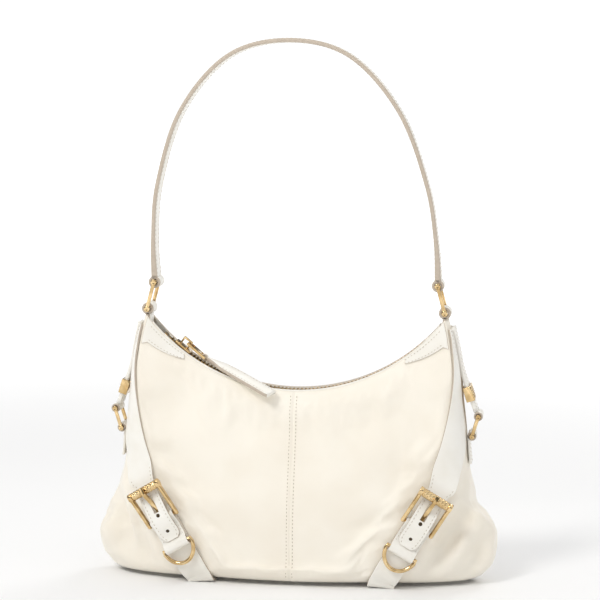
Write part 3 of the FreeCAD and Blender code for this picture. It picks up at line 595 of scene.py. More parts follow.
def belt_nearness(point):
    """1 under a belt, a buckle or a patch and 0 well away from them."""
    q = Vector((abs(point.x), -abs(point.y), point.z)) / MM - Vector((0, 0, floor_lift))
    local = q - pivot_foot
    along, across = local.dot(buckle_up), local.dot(buckle_across)
    near = 0.0
    if -48 < along < 40 and abs(local.dot(buckle_normal)) < 14:
        near = 1 - unit((abs(across) - 13) / 9)
    if q.z > 70 and q.x > edge_x(q.z) - 2:
        width = belt_width * sewn_share(q.z / corner_height)
        run = (Vector((q.x, q.y)) - Vector(side_point(-1, q.z)[:2])).length
        near = max(near, 1 - unit((run - width - 2) / 8))
    away = (q - Vector((half_span, q.y, corner_height))).length
    near = max(near, 1 - unit((away - 34) / 14))
    if abs(q.y) < 11 and q.x > edge_x(q.z) and q.z > 84:
        near = 1.0
    return near


def freedom(co):
    """1 where the fabric is loose and 0 where it is sewn down."""
    x, z = co.x / MM, co.z / MM - floor_lift
    rim, low = unit((mouth_z(x) - z - 9) / 12), unit((z - 2) / 7)
    return (1 - belt_nearness(co)) * rim * low


shell.normal_update()
for v in shell.verts:
    ripple = noise.noise(v.co * 38.0) * 1.1 + noise.noise(v.co * 16.0 + Vector((3, 1, 2))) * 1.8
    v.co += v.normal * ripple * freedom(v.co) * MM
print("fabric made uneven")

# %% Cloth simulation
bag_fabric = piece("bag_fabric", shell, (nylon,), "bag", ("front_panel_left", "front_panel_right",
                   "back_panel_left", "back_panel_right", "side_panel_left", "side_panel_right"))


frames, slack, pressure, furthest = 20, 0.03, 0.35, 5.0 * MM


def settle(made, hold):
    """Lets a sheet hang and swell between the vertices that are held, and keeps the result."""
    pins = made.vertex_groups.new(name="sewn")
    for v in made.data.vertices:
        pins.add([v.index], hold(v.co), "REPLACE")
    before = [v.co.copy() for v in made.data.vertices]
    cloth = made.modifiers.new("cloth", "CLOTH")
    now = cloth.settings
    now.vertex_group_mass = "sewn"
    now.quality = 6
    now.mass = 0.12
    now.tension_stiffness = now.compression_stiffness = 12.0
    now.shear_stiffness = 6.0
    now.bending_stiffness = 0.35
    now.shrink_min = -slack
    now.use_pressure = True
    now.uniform_pressure_force = pressure
    now.effector_weights.gravity = 0.25
    cloth.collision_settings.use_collision = False
    cloth.point_cache.frame_end = frames
    for step in range(1, frames + 1):
        scene.frame_set(step)
    settled = made.evaluated_get(bpy.context.evaluated_depsgraph_get()).data
    for v, old, new in zip(made.data.vertices, before, settled.vertices):
        move = new.co - old
        v.co = old + move * min(1.0, furthest / max(move.length, 1e-9))
    made.modifiers.remove(cloth)
    made.vertex_groups.remove(pins)
    scene.frame_set(1)


def sewn(co):
    x, z = co.x / MM, co.z / MM - floor_lift
    rim = 1 - unit((mouth_z(x) - z - 9) / 9) if abs(x) < half_span * 1.05 else 0.0
    return min(max(rim, 1 - unit((z - 4) / 8), belt_nearness(co) ** 0.5), 1.0)


settle(bag_fabric, sewn)
for v in bag_fabric.data.vertices:
    x, z = v.co.x / MM, v.co.z / MM - floor_lift
    outline = min(abs(v.co.y) / MM / 25.0, 1.0) ** 1.1
    depth = outline * fold_depth(abs(x), z, right_folds if (x > 0) == (v.co.y < 0) else left_folds)
    if abs(x) < edge_x(z):
        depth += fold_depth(x if v.co.y < 0 else -x, z, front_folds)
    v.co += v.normal * depth * freedom(v.co) * MM
bm = copy_of(bag_fabric.data)
loose = [v for v in bm.verts if freedom(v.co) > 0.35]
bmesh.ops.smooth_vert(bm, verts=loose, factor=0.5, use_axis_x=True, use_axis_y=True, use_axis_z=True)
bm.to_mesh(bag_fabric.data)
bm.free()
print("fabric settled")

# %% [markdown]
# ## Centre seam
# The two halves of the front meet in a seam with a row of stitches on each side. We cut a line of edges
# down the middle, push it in a little, and puff the strips beside it.
# %% Seams, smoothness and thickness
bm = copy_of(bag_fabric.data)
bmesh.ops.subdivide_edges(bm, edges=bm.edges[:], cuts=1, smooth=1.0, use_grid_fill=True)
seam_lines = (-3.2, -1.4, 0.0, 1.4, 3.2)
for x in seam_lines:
    bmesh.ops.bisect_plane(bm, geom=bm.verts[:] + bm.edges[:] + bm.faces[:], dist=1e-6,
                           plane_co=(x * MM, 0, 0), plane_no=(1, 0, 0))
for v in bm.verts:
    beside = abs(v.co.x) / MM
    if beside < 3.3:
        push = -0.75 if beside < 0.3 else (0.35 if beside < 2 else 0.0)
        v.co.y += push * MM * (-1 if v.co.y < 0 else 1)
bmesh.ops.recalc_face_normals(bm, faces=bm.faces)
for f in bm.faces:
    f.smooth = True
bm.to_mesh(bag_fabric.data)
skin = BVHTree.FromBMesh(bm)
bm.free()
walled(bag_fabric, 1.2, -1.0, rim=0)
print("fabric faces", len(bag_fabric.data.polygons))


def on_skin(x, z, back=False):
    """The point and normal of the fabric seen straight from the front or the back."""
    way = Vector((0, -1, 0)) if back else Vector((0, 1, 0))
    place, normal, _, _ = skin.ray_cast(Vector((x, 0, z)) * MM - way * 0.2, way)
    return place, normal


# %% [markdown]
# ## Stitches
# One stitch is a tiny rounded bar of thread. A line of stitches repeats it along a path at an even pitch,
# a little sunk into the leather, so that it reads as sewing and not as beads.
# %% Stitch helper
def stitches(name, lines, body, length=1.9, gap=1.1, thick=0.5, yarn=None):
    """Lines are lists of (point, normal) in metres."""
    bm = bmesh.new()
    for line in lines:
        left_over = 0.0
        for (a, na), (b, nb) in zip(line, line[1:]):
            run = (b - a).length / MM
            way = (b - a).normalized()
            at = left_over
            while at < run:
                normal = na.lerp(nb, at / run).normalized()
                side = normal.cross(way).normalized()
                turn = Matrix((way, side, normal)).transposed().to_4x4()
                size = Matrix.Diagonal((length / 2 * MM, thick / 2 * MM, thick / 2 * MM, 1))
                turn.translation = a + way * at * MM
                bmesh.ops.create_uvsphere(bm, u_segments=6, v_segments=4, radius=1.0, matrix=turn @ size)
                at += length + gap
            left_over = at - run
    return piece(name, bm, (yarn or thread,), body, ())


for end, back in both_ends:
    lines = []
    for x in (-2.3, 2.3):
        steps = [on_skin(x, z, back) for z in range(8, 141, 4)]
        lines.append([(p, n) for p, n in steps if p])
    stitches("seam_stitches_" + end, lines, "bag", 1.5, 1.2, 0.62, dull_thread)
print("seam sewn")

# %% [markdown]
# ## Mouth facings and corner patches
# The mouth is faced inside with a band of white leather, and a patch of the same leather strengthens
# each corner. Both are thin sheets on the body's own surface, with painted edges.
# %% Facings and patches
facing_reach, facing_height, facing_proud, facing_inset = 0.957, 9.0, 1.0, 1.6
patch_inner = 83.0


def facing_rows(back):
    """Rows of points from the lower to the upper edge of a facing."""
    rows = []
    for k in range(5):
        lift = Vector((0, 0, facing_proud * MM if k == 4 else 0))
        tops = [face_point(-facing_reach + 2 * facing_reach * i / 48, 1.0, facing_inset) for i in range(49)]
        rows.append([on_face(top.x, top.z - facing_height * (1 - k / 4), -facing_inset, back=back) + lift
                     for top in tops])
    return rows


for end, back in both_ends:
    inward = Vector((0, -1 if back else 1, 0))
    strap("mouth_facing_" + end, facing_rows(back), 1.7, "bag", ("mouth_trim_" + end,), inward, 0.3)
    lines = []
    for side, left in both_sides:
        rows = []
        for r in range(7):
            row = []
            for c in range(9):
                reach = edge_x(corner_height - 20.0 * (1 - r / 6)) - 0.5
                x = patch_inner + (reach - patch_inner) * c / 8
                z = min(mouth_z(x), corner_height) - 0.6 - (1 - r / 6) * (4.0 + 16.0 * c / 8)
                row.append(on_face(x, z, 0.25, left, back))
            rows.append(row)
        strap("corner_patch_%s_%s" % (end, side), rows, 0.9, "bag",
              ("corner_patches_" + end,) if side == "right" else (), -inward, 0.4)
        lines += [[(p - inward * 1.2 * MM, -inward) for p in rows[r][:-1]] for r in (1, 5)]
    stitches("patch_stitches_" + end, lines, "bag", 1.5, 1.2, 0.5)
print("mouth faced")

# %% [markdown]
# ## Belts
# A belt runs from the upper corner down the edge of the body, widens, narrows to its tail, goes under the
# roller of the buckle and lies on the chape. Its middle is slotted for the prong, and the tail is punched.
# %% Belt rows
across_shares = (0.5, 0.36, 0.1125, -0.1125, -0.36, -0.5)
tail_level = smooth_curve([(-18.0, base_lift + 3.5), (-12.0, base_lift + 3.7), (-3.5, loop_top + 0.3),
                           (3.5, loop_top + 0.3), (14.0, loop_top - 1.4), (25.0, base_lift + 1.8),
                           (30.0, base_lift), (36.0, stand_off + 0.9)])
side_width_share = smooth_curve([(0.45, 0.94), (0.53, 0.90), (0.61, 0.72), (0.69, 0.53), (0.77, 0.42),
                                 (0.84, 0.30), (0.95, 0.13)])


def belt_row_on_side(z, lift):
    """Six points across the belt where it lies on the side of the bag."""
    arc = [side_point(-1 + i / 120, z) for i in range(121)]
    runs = lengths(arc)
    row = []
    for share in across_shares:
        goal = 0.6 + belt_width * side_width_share(z / corner_height) * (0.5 - share)
        k = min(range(121), key=lambda j: abs(runs[j] - goal))
        k = min(max(k, 1), 119)
        step = (goal - runs[k]) / max(runs[k + 1] - runs[k - 1], 1e-6) * 2
        around = -1 + (k + step) / 120
        row.append(side_point(max(around, -1), z) + side_normal(max(around, -0.98), z) * lift)
    return row


def belt_row_at_buckle(along, width, lift):
    return [at_buckle(along, width * share, tail_level(along) + lift) for share in across_shares]


def belt_rows(lift):
    rows = [belt_row_on_side(corner_height * share, stand_off + 0.25 + lift)
            for share in (0.965, 0.93, 0.9, 0.84, 0.77, 0.69, 0.61, 0.53, 0.46)]
    rows += [belt_row_at_buckle(along, width, lift) for along, width in
             ((36.0, 21.0), (30.0, 17.0), (25.0, 16.0), (19.0, 16.0), (14.0, 16.0), (6.0, 16.0),
              (0.0, 16.0), (-6.0, 16.0), (-11.0, 15.6), (-14.5, 13.6), (-17.0, 8.6))]
    return eased(rows, 3)


print("belt rows", len(belt_rows(0)))

# %% Belts
hole_places, stitch_inset = (-9.0, 3.5), 1.9
inner, outer = belt_rows(0.0), belt_rows(leather)
for spot, left, back in quarters:
    rows = [[real(p, left, back) for p in row] for row in inner]
    facing = turned(buckle_normal, left, back)
    bm = sheet_of(rows)
    middle, way = real(at_buckle(12.5, 0, 8), left, back), turned(buckle_up, left, back)
    narrow, slotted = turned(buckle_across, left, back), []
    for f in bm.faces:
        away = f.calc_center_median() - middle
        if abs(away.dot(narrow)) < 1.4 * MM and abs(away.dot(way)) < 6.3 * MM and away.length < 9 * MM:
            slotted.append(f)
    bmesh.ops.delete(bm, geom=slotted, context="FACES")
    outward(bm, facing)
    made = piece("belt_" + spot + "_leather", bm, (hide, edge_paint), "bag",
                 ("belt_" + spot,))
    rounded(walled(made, leather), 0.35, 50.0)

    lines = []
    for first in (0, 5):
        line = []
        for row, under in zip(outer[1:-2], inner[1:-2]):
            share = min(stitch_inset / max((row[0] - row[5]).length, 1.0), 0.42)
            top = real(row[first].lerp(row[5 - first], share), left, back)
            normal = (top - real(under[first].lerp(under[5 - first], share), left, back)).normalized()
            line.append((top + normal * 0.1 * MM, normal))
        lines.append(line)
    stitches("belt_stitches_" + spot, lines, "bag", 1.7, 1.2, 0.55)

    bm = bmesh.new()
    for along in hole_places:
        k = min(range(30, len(outer) - 1),
                key=lambda i: abs((outer[i][2] - pivot_foot).dot(buckle_up) - along))
        centre = (outer[k][2] + outer[k][3]) / 2
        axis = (outer[k - 1][2] - outer[k + 1][2]).cross(outer[k][3] - outer[k][2]).normalized()
        if axis.dot(buckle_normal) < 0:
            axis = -axis
        spin = turned(axis, left, back).to_track_quat("Z", "Y").to_matrix().to_4x4()
        spin.translation = real(centre + axis * 0.12, left, back)
        bmesh.ops.create_cone(bm, cap_ends=True, segments=20, radius1=1.45 * MM, radius2=1.3 * MM,
                              depth=0.2 * MM, matrix=spin)
    piece("belt_holes_" + spot, bm, (hole_dark,), "bag", ())
print("belts made")

# %% [markdown]
# ## Chapes and lower straps
# A chape is a short folded strap. It holds the buckle's pivot bar in one fold and the D-ring in the
# other, so its side view is a long loop. The lower strap starts under it and runs under the bag.
# %% Chapes
fold_level = base_lift + thin_leather


def fold_around(x, level, radius, start, end, steps=9):
    """Points on a fold round a bar, as (along, out)."""
    return [(x + radius * math.cos(math.radians(start + (end - start) * i / steps)),
             level + radius * math.sin(math.radians(start + (end - start) * i / steps)))
            for i in range(steps + 1)]


loop = [(-11.0, fold_level), (-6.0, fold_level)] + fold_around(0, pivot_level, pivot_radius + play, -90, 90)
loop += [(-3.4, fold_level + 1.7), (-6.0, fold_level + 0.35), (-11.0, fold_level + 0.1),
         (-16.5, fold_level + 0.3), (-19.0, fold_level + 2.2)]
loop += fold_around(-22.0, d_level, 1.5 + play, 90, 270) + [(-19.0, fold_level), (-11.0, fold_level)]
shares, chape_width = (-0.5, -0.3, -0.09, 0.09, 0.3, 0.5), 20.0
for spot, left, back in quarters:
    rows = [[real(at_buckle(x, chape_width * share, level), left, back) for share in shares]
            for x, level in loop]
    bm = sheet_of(rows)
    bmesh.ops.remove_doubles(bm, verts=bm.verts, dist=1e-6)
    pivot = real(at_buckle(0, 0, pivot_level), left, back)
    middle = [f for f in bm.faces if (f.calc_center_median() - pivot).length < 2.9 * MM]
    bmesh.ops.delete(bm, geom=middle, context="FACES")
    bmesh.ops.recalc_face_normals(bm, faces=bm.faces)
    made = piece("chape_" + spot, bm, (hide, edge_paint), "bag",
                 ("buckle_chape_" + spot,))
    rounded(walled(made, thin_leather), 0.3, 55.0)
    normal = turned(buckle_normal, left, back)
    lines = [[(real(at_buckle(x, chape_width * share, fold_level + thin_leather + 0.12), left, back), normal)
              for x in (-7.0, -11.0, -15.5)] for share in (-0.42, 0.42)]
    stitches("chape_stitches_" + spot, lines, "bag", 1.7, 1.1, 0.42)
print("chapes folded")

# %% Lower straps
for side, left in both_sides:
    down = [(at_buckle(along, 0, strap_lift), buckle_normal) for along in (8.0, -10.0, -22.0, -31.0)]
    last, slant = down[-1][0], buckle_up.x / buckle_up.z
    for z, tilt in ((13.0, 0.15), (8.0, 0.35), (4.0, 0.6)):
        x = last.x + (z - last.z) * slant
        down.append((Vector((x, -(face_y(x, z) + 0.9), z)), Vector((0, -1, -tilt)).normalized()))
    x = down[-1][0].x - 1.5
    down.append((Vector((x, -(face_y(x, 3.0) + 1.2), 0.3)), Vector((0, -1, -0.9)).normalized()))
    down.append((Vector((x, -(face_y(x, 3.0) - 6.0), -0.3)), Vector((0, 0, -1))))
    down.append((Vector((x, -8.0, -0.3)), Vector((0, 0, -1))))
    whole = down + [(Vector((p.x, -p.y, p.z)), Vector((n.x, -n.y, n.z))) for p, n in reversed(down)]
    rows = []
    for i, (p, n) in enumerate(whole):
        run = whole[max(i - 1, 0)][0] - whole[min(i + 1, len(whole) - 1)][0]
        across = n.cross(run).normalized()
        rows.append([real(p + across * share, left) for share in (-10, -5, 0, 5, 10)])
    bm = sheet_of(eased(rows, 2))
    outward(bm, Vector((0, 0, -1)))
    made = piece("lower_strap_%s_leather" % side, bm, (hide, edge_paint), "bag", ("lower_strap_" + side,))
    rounded(walled(made, leather), 0.35, 55.0)
print("lower straps laid")

# %% [markdown]
# ## Handle
# The handle is one flat leather strap seen on its edge. Each end is folded round a bar of a gold link,
# so it is thicker there, and the fold shows as a round loop. The flat faces are leather and the two
# narrow edges are painted. The cross-section is swept along the arch as a closed band.
# %% Swept straps
link_height, handle_rise, link_pitch, link_tilt = 200.0, 201.0, 20.7, math.radians(15)
lower_bar = Vector((half_span, 0, link_height))
upper_bar = lower_bar + Vector((-link_pitch * math.sin(link_tilt), 0, link_pitch * math.cos(link_tilt)))
loop_outside = 4.6


def band(name, stations, body, replaces=(), left=False, edge=edge_paint):
    """A strap through (centre, across, normal, width, thickness) stations, with painted narrow edges."""
    rows = []
    for centre, across, normal, width, thick in stations:
        row = []
        soft = min(0.45, thick * 0.25)
        for a, b in ((-1, -1), (1, -1), (1, 1), (-1, 1)):
            corner = [(a * (width / 2 - soft), b * thick / 2), (a * width / 2, b * (thick / 2 - soft))]
            row += corner[::-1] if a * b > 0 else corner
        rows.append([real(centre + across * s + normal * t, left) for s, t in row + row[:1]])
    bm = sheet_of(rows)
    sealed(bm, 20)
    bmesh.ops.recalc_face_normals(bm, faces=bm.faces)
    for f in bm.faces:
        place = f.calc_center_median()
        near = min(stations, key=lambda s: (real(s[0], left) - place).length)
        across = turned(near[1], left)
        f.material_index = 1 if abs(f.normal.dot(across)) > 0.5 else 0
    return piece(name, bm, (hide, edge), body, replaces)


def sewing_line(stations, inset, left=False, sign=1):
    """A line for stitches on a swept strap's face, this far from its middle."""
    return [(real(c + n * (sign * t / 2) + a * inset, left), turned(n * sign, left))
            for c, a, n, w, t in stations]


def smooth_path(points, steps):
    return [row[0] for row in eased([[p] for p in points], steps)]


def ring_stations(centre, middle, wall, width, steps=28):
    """Stations round a bar that lies along Y."""
    made = []
    for i in range(steps + 1):
        a = 2 * math.pi * i / steps
        out = Vector((math.cos(a), 0, math.sin(a)))
        made.append((centre + out * middle, Vector((0, 1, 0)), out, width, wall))
    return made


# %% Handle
foot = upper_bar.z + loop_outside - 1.0
arch = link_height + handle_rise - 1.6 - foot
shape = [(-1.0, 0.0), (-0.995, 0.17), (-0.945, 0.40), (-0.765, 0.705), (-0.425, 0.935), (0.0, 1.0),
         (0.425, 0.935), (0.765, 0.705), (0.945, 0.40), (0.995, 0.17), (1.0, 0.0)]
spine = smooth_path([Vector((s * upper_bar.x - 5.0 * math.sin(math.pi / 2 * r), 0, foot + r * arch))
                     for s, r in shape], 10)
runs = lengths(spine)
stations = []
for i, here in enumerate(spine):
    way = heading(spine, i)
    from_end = min(runs[i], runs[-1] - runs[i])
    thick = 3.0 + 1.7 * max(0.0, 1 - from_end / 34.0) ** 1.2
    stations.append((here, Vector((0, 1, 0)), Vector((-way.z, 0, way.x)), 15.0, thick))
band("handle_leather", stations, "handle", ("handle_strap",))
for side, left in both_sides:
    band("handle_loop_" + side, ring_stations(upper_bar, 3.45, 2.2, 15.0), "handle", (), left)
lines = [sewing_line(stations, inset, sign=sign) for inset in (-5.6, 5.6) for sign in (1, -1)]
stitches("handle_stitches", lines, "handle", 1.9, 1.3, 0.5)
print("handle length", round(runs[-1]), "mm")

# %% [markdown]
# ## Corner loops and side straps
# A loop of leather holds the lower bar of each handle link and goes down between the two faces of the
# bag. On the sides a doubled strap comes down through a gold keeper to a small link.
# %% Corner loops
for side, left in both_sides:
    band("corner_loop_" + side, ring_stations(lower_bar, 3.45, 2.2, 15.0), "corner_tabs",
         ("corner_tab_" + side,), left)
    neck = [(Vector((half_span, 0, z)), Vector((0, 1, 0)), Vector((1, 0, 0)), width, 3.2)
            for z, width in ((186.4, 9.0), (188.5, 13.4), (192.0, 15.0), (196.6, 15.0))]
    band("corner_neck_" + side, neck, "corner_tabs", (), left)
print("corner loops made")

# %% Side straps
side_bar_out = 3.35
side_tilt = math.radians(17)
side_lower = Vector((side_x(109.0) + stand_off + side_bar_out + 0.3, 0, 109.0))
side_upper = side_lower + Vector((math.sin(side_tilt), 0, math.cos(side_tilt))) * 15.5
strap_bend = Vector((side_x(156.0) + stand_off + 0.6, 0, 156.0))
strap_end = side_upper - Vector((side_bar_out, 0, 0))
strap_way = (strap_end - strap_bend).normalized()
keeper_foot = strap_bend + strap_way * (16.0 / -strap_way.z)


def strap_stations(points, thick, width, steps=5):
    path = smooth_path(points, steps)
    made = []
    for i, here in enumerate(path):
        way = heading(path, i)
        normal = Vector((-way.z, 0, way.x))
        if normal.x < 0:
            normal = -normal
        made.append((here + normal * thick / 2, Vector((0, 1, 0)), normal, width, thick))
    return made


for side, left in both_sides:
    top = corner_height - 6.0
    middle = (top + strap_bend.z) / 2
    straps = strap_stations([Vector((side_x(top) + stand_off, 0, top)),
                             Vector((side_x(middle) + stand_off + 0.1, 0, middle)), strap_bend,
                             strap_end + Vector((0, 0, 3.0))], 3.0, 16.0)
    band("side_strap_leather_" + side, straps, "bag", ("side_strap_" + side,), left, edge=hide)
    band("side_strap_loop_" + side, ring_stations(side_upper, 2.6, 1.45, 16.0), "bag", (), left)
    low = 88.0
    tabs = strap_stations([side_lower - Vector((side_bar_out - 0.2, 0, 0))] +
                          [Vector((side_x(z) + stand_off + 0.2, 0, z)) for z in (low + 14, low + 7, low)],
                          1.5, 16.0)
    band("side_tab_leather_" + side, tabs, "bag", ("side_tab_" + side,), left, edge=hide)
    band("side_tab_loop_" + side, ring_stations(side_lower, 2.6, 1.45, 16.0), "bag", (), left)
    lines = [sewing_line(group, inset, left) for inset in (-6.4, 6.4) for group in (straps, tabs)]
    stitches("side_stitches_" + side, lines, "bag", 1.7, 1.2, 0.4)
print("side straps made")

# %% [markdown]
# ## Gold hardware
# Each link is two round pins with domed heads and two slim side bars. The roller of a buckle is
# knurled: its skin is a net of small raised diamonds, cut by two sets of slanting grooves in a fine grid.
# %% Metal helpers
def tube(bm, points, radius, around=14, closed=False):
    """A round wire along points; its faces are added to bm."""
    rows = []
    count = len(points)
    for i, here in enumerate(points):
        before = points[i - 1] if i or closed else points[0]
        after = points[(i + 1) % count] if i + 1 < count or closed else points[-1]
        way = (after - before).normalized()
        start = Vector((0, 1, 0)) if abs(way.y) < 0.9 else Vector((1, 0, 0))
        if i:
            start = rows[-1][1]
        first = (start - way * start.dot(way)).normalized()
        rows.append((here, first, way.cross(first)))
    if closed:
        rows.append(rows[0])
    turns = [2 * math.pi * k / around for k in range(around + 1)]
    made = sheet_of([[c + (u * math.cos(a) + w * math.sin(a)) * radius for a in turns] for c, u, w in rows])
    sealed(made, around + 1, 1e-5)
    join(bm, made)


def pin(bm, centre, half, radius, head, dome):
    """A pin along Y with a domed head at each end."""
    profile = [(0.0, half + dome * 0.55), (head * 0.35, half + dome * 0.5), (head * 0.55, half + dome),
               (head * 0.85, half + dome * 0.75), (head, half + dome * 0.25), (head, half - 0.3),
               (radius, half - 0.3)]
    line = profile + [(r, -y) for r, y in profile[::-1]]
    made = bmesh.new()
    verts = [made.verts.new((r, y, 0)) for r, y in line]
    edges = [made.edges.new(pair) for pair in zip(verts, verts[1:])]
    bmesh.ops.spin(made, geom=verts + edges, cent=(0, 0, 0), axis=(0, 1, 0), angle=2 * math.pi, steps=22,
                   use_merge=True)
    bmesh.ops.remove_doubles(made, verts=made.verts, dist=1e-4)
    bmesh.ops.translate(made, verts=made.verts, vec=centre)
    join(bm, made)


def block(bm, corners, bevel):
    """A bevelled bar between two end rectangles, each given as four points in the same order."""
    made = bmesh.new()
    bmesh.ops.create_cube(made, size=2.0)
    for v in made.verts:
        end = corners[1] if v.co.x > 0 else corners[0]
        v.co = end[(0 if v.co.y < 0 else 1) if v.co.z < 0 else (3 if v.co.y < 0 else 2)]
    bmesh.ops.recalc_face_normals(made, faces=made.faces)
    bmesh.ops.bevel(made, geom=made.edges[:], offset=bevel, offset_type="OFFSET", segments=3, profile=0.5,
                    affect="EDGES", material=-1)
    join(bm, made)


def carried(bm, left):
    """Carries a shape drawn on the right side to either side."""
    for v in bm.verts:
        v.co = real(v.co, left)
    bmesh.ops.recalc_face_normals(bm, faces=bm.faces)
    return bm


# %% Handle links and side links
def link_bmesh(low, high, half, wire, bar, head):
    bm = bmesh.new()
    for place in (low, high):
        pin(bm, place, half + wire, wire, head, 0.5)
    way = (high - low).normalized()
    side = Vector((way.z, 0, -way.x))
    for y in (-half - wire / 2 - 0.1, half + wire / 2 + 0.1):
        ends = []
        for place, reach in ((low, -0.9), (high, 0.9)):
            middle = place + way * reach + Vector((0, y, 0))
            ends.append([middle + side * s * bar / 2 + Vector((0, t * 0.75, 0))
                         for s, t in ((-1, -1), (-1, 1), (1, 1), (1, -1))])
        block(bm, ends, 0.35)
    return bm


for side, left in both_sides:
    gilded("handle_link_gold_" + side, carried(link_bmesh(lower_bar, upper_bar, 9.0, 1.7, 2.7, 2.25), left),
           "link_" + side, "handle_link_" + side)
    gilded("side_link_gold_" + side, carried(link_bmesh(side_lower, side_upper, 8.8, 1.5, 2.5, 1.9), left),
           "bag", "side_link_" + side)
print("links made")

# %% Buckle frames
arm_inner, arm_outer, arm_length = 10.5, 13.5, 25.0
ring_x, ring_half, ring_drop = -22.0, 12.1, 14.0


def knurled(bm, half, radius, around=48, along=60, depth=0.6):
    """A bar along Y whose skin is a net of diamonds."""
    rows = []
    for i in range(along + 1):
        y = -half + 2 * half * i / along
        row = []
        for k in range(around + 1):
            a = 2 * math.pi * k / around
            one = abs((k * 8 / around + y * 0.4) % 1 - 0.5) * 2
            two = abs((k * 8 / around - y * 0.4) % 1 - 0.5) * 2
            lift = depth * (min(one, two) - 1.0) if 1 < i < along - 1 else -depth * 1.4
            row.append(Vector((math.cos(a) * (radius + lift), y, math.sin(a) * (radius + lift))))
        rows.append(row)
    made = sheet_of(rows)
    sealed(made, around + 1, 1e-4)
    bmesh.ops.translate(made, verts=made.verts, vec=(arm_length, 0, roller_level))
    join(bm, made)


for spot, left, back in quarters:
    bm = bmesh.new()
    knurled(bm, 10.6, roller_radius + 0.05)
    for y in (-1, 1):
        y0, y1 = sorted((y * arm_inner, y * arm_outer))
        low = [(-2.2, pivot_level - 1.7), (-2.2, pivot_level + 1.7)]
        high = [(arm_length, roller_level - 2.4), (arm_length, roller_level + 2.5)]
        ends = [[Vector((x, yy, z)) for (x, z), yy in zip((under, under, over, over), (y0, y1, y1, y0))]
                for under, over in (low, high)]
        block(bm, ends, 1.25)
        pin_bm = bmesh.new()
        place = Matrix.Translation((arm_length, y * 12.05, roller_level))
        bmesh.ops.create_cone(pin_bm, cap_ends=True, segments=32, radius1=roller_radius,
                              radius2=roller_radius, depth=3.1,
                              matrix=place @ Matrix.Rotation(math.pi / 2, 4, "X"))
        rims = [e for e in pin_bm.edges if e.calc_face_angle(0) > 1.0]
        bmesh.ops.bevel(pin_bm, geom=rims, offset=0.6, offset_type="OFFSET", segments=3, profile=0.5,
                        affect="EDGES", material=-1)
        join(bm, pin_bm)
    tube(bm, [Vector((0, -13.0, pivot_level)), Vector((0, 13.0, pivot_level))], pivot_radius, 18)
    gilded("buckle_" + spot, to_buckle(bm, left, back), "frame_" + spot, "buckle_frame_" + spot)
    finished("buckle_prong_" + spot, 0.3, gold)

    bm = bmesh.new()
    points = [Vector((ring_x, y, d_level)) for y in (-ring_half, -6.0, 6.0, ring_half)]
    points += [Vector((ring_x - ring_drop * math.sin(math.radians(a)), ring_half * math.cos(math.radians(a)),
                       d_level)) for a in range(10, 171, 8)]
    tube(bm, points, 1.5, 14, True)
    gilded("d_ring_gold_" + spot, to_buckle(bm, left, back), "ring_" + spot, "d_ring_" + spot)
print("buckles made")

# %% Keepers, slider and pull link
for side, left in both_sides[::-1]:
    finished("side_keeper_" + side, 0.35, gold)
    down = strap_way
    out = Vector((-down.z, 0, down.x))
    face = keeper_foot + out * (3.0 + 0.4 + 1.3 + 0.02)
    rows = []
    for i in range(37):
        row = []
        for k in range(25):
            a, b = -9.0 + 10.5 * i / 36, -5.0 + 10.0 * k / 24
            inside = 0 < i < 36 and 0 < k < 24
            lift = 0.35 * min(abs((i + k) % 8 - 4), abs((i - k) % 8 - 4)) / 4 if inside else 0
            row.append(real(face + Vector((0, a, 0)) + down * b + out * (lift * 1.6 - 0.05), left))
        rows.append(row)
    bm = sheet_of(rows)
    outward(bm, turned(out, left))
    gilded("keeper_knurl_" + side, bm, "keeper_" + side)
for node in ("zip_slider", "pull_link"):
    finished(node, 0.22, gold)

# %% [markdown]
# ## Pull tab
# The zip's leather pull is stiff and lies over the front edge of the mouth, turned to show its edge.
# %% Pull tab
tab_low, tab_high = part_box("pull_tab")


def on_arc(point, degrees):
    """Turns a point round the centre of the mouth's arc; positive degrees go right."""
    a = math.radians(degrees)
    x, z = point.x, point.z - arc_height
    return Vector((x * math.cos(a) - z * math.sin(a), point.y,
                   arc_height + x * math.sin(a) + z * math.cos(a)))


zip_radius = arc_radius + 0.5
pin_place = Vector((1.6, 0, arc_height - zip_radius + 1.2 + 0.5 + 1.1 + 3.3))
dip = math.radians(2.0)
tab_pin = on_arc(pin_place + Vector((math.cos(dip), 0, -math.sin(dip))) * 16.0, -38.0)
slope, swing, tab_length = math.radians(22.5), math.radians(19.5), 62.0


def tab_middle(share):
    """A point of the tab's middle line: share is 0 at its pin and 1 at its tip."""
    run = tab_length * share
    return tab_pin + Vector((run * math.cos(slope) * math.cos(swing),
                             -tab_length * math.sin(swing) * max(share, 0.0) ** 1.3, -run * math.sin(slope)))


stations = []
for i in range(25):
    share = 0.03 + 0.97 * i / 24
    way = (tab_middle(share + 0.02) - tab_middle(share - 0.02)).normalized()
    level = Vector((0, 0, 1)).cross(way).normalized()
    roll = math.radians(9.0) * min(2 * share, 1.0)
    across = level * math.cos(roll) + way.cross(level).normalized() * math.sin(roll)
    grow = min(max(share - 0.05, 0.0) / 0.25, 1.0)
    width = 4.1 + 7.9 * (3 * grow ** 2 - 2 * grow ** 3)
    if share > 0.965:
        width *= 0.9
    stations.append((tab_middle(share), across, way.cross(across).normalized(), width, 2.6))
made = band("pull_tab_leather", stations, "pull_tab", ("pull_tab",))
lines = []
for inset in (-0.36, 0.36):
    lines.append([(real(c + n * (t / 2 + 0.05) + a * w * inset), n) for c, a, n, w, t in stations[7:-1]])
stitches("pull_tab_stitches", lines, "pull_tab", 1.7, 1.2, 0.4)
band("pull_tab_loop", ring_stations(tab_pin, 2.0, 1.35, 4.1), "pull_tab")
print("pull tab box", [round(v, 3) for v in tab_low], [round(v, 3) for v in tab_high])

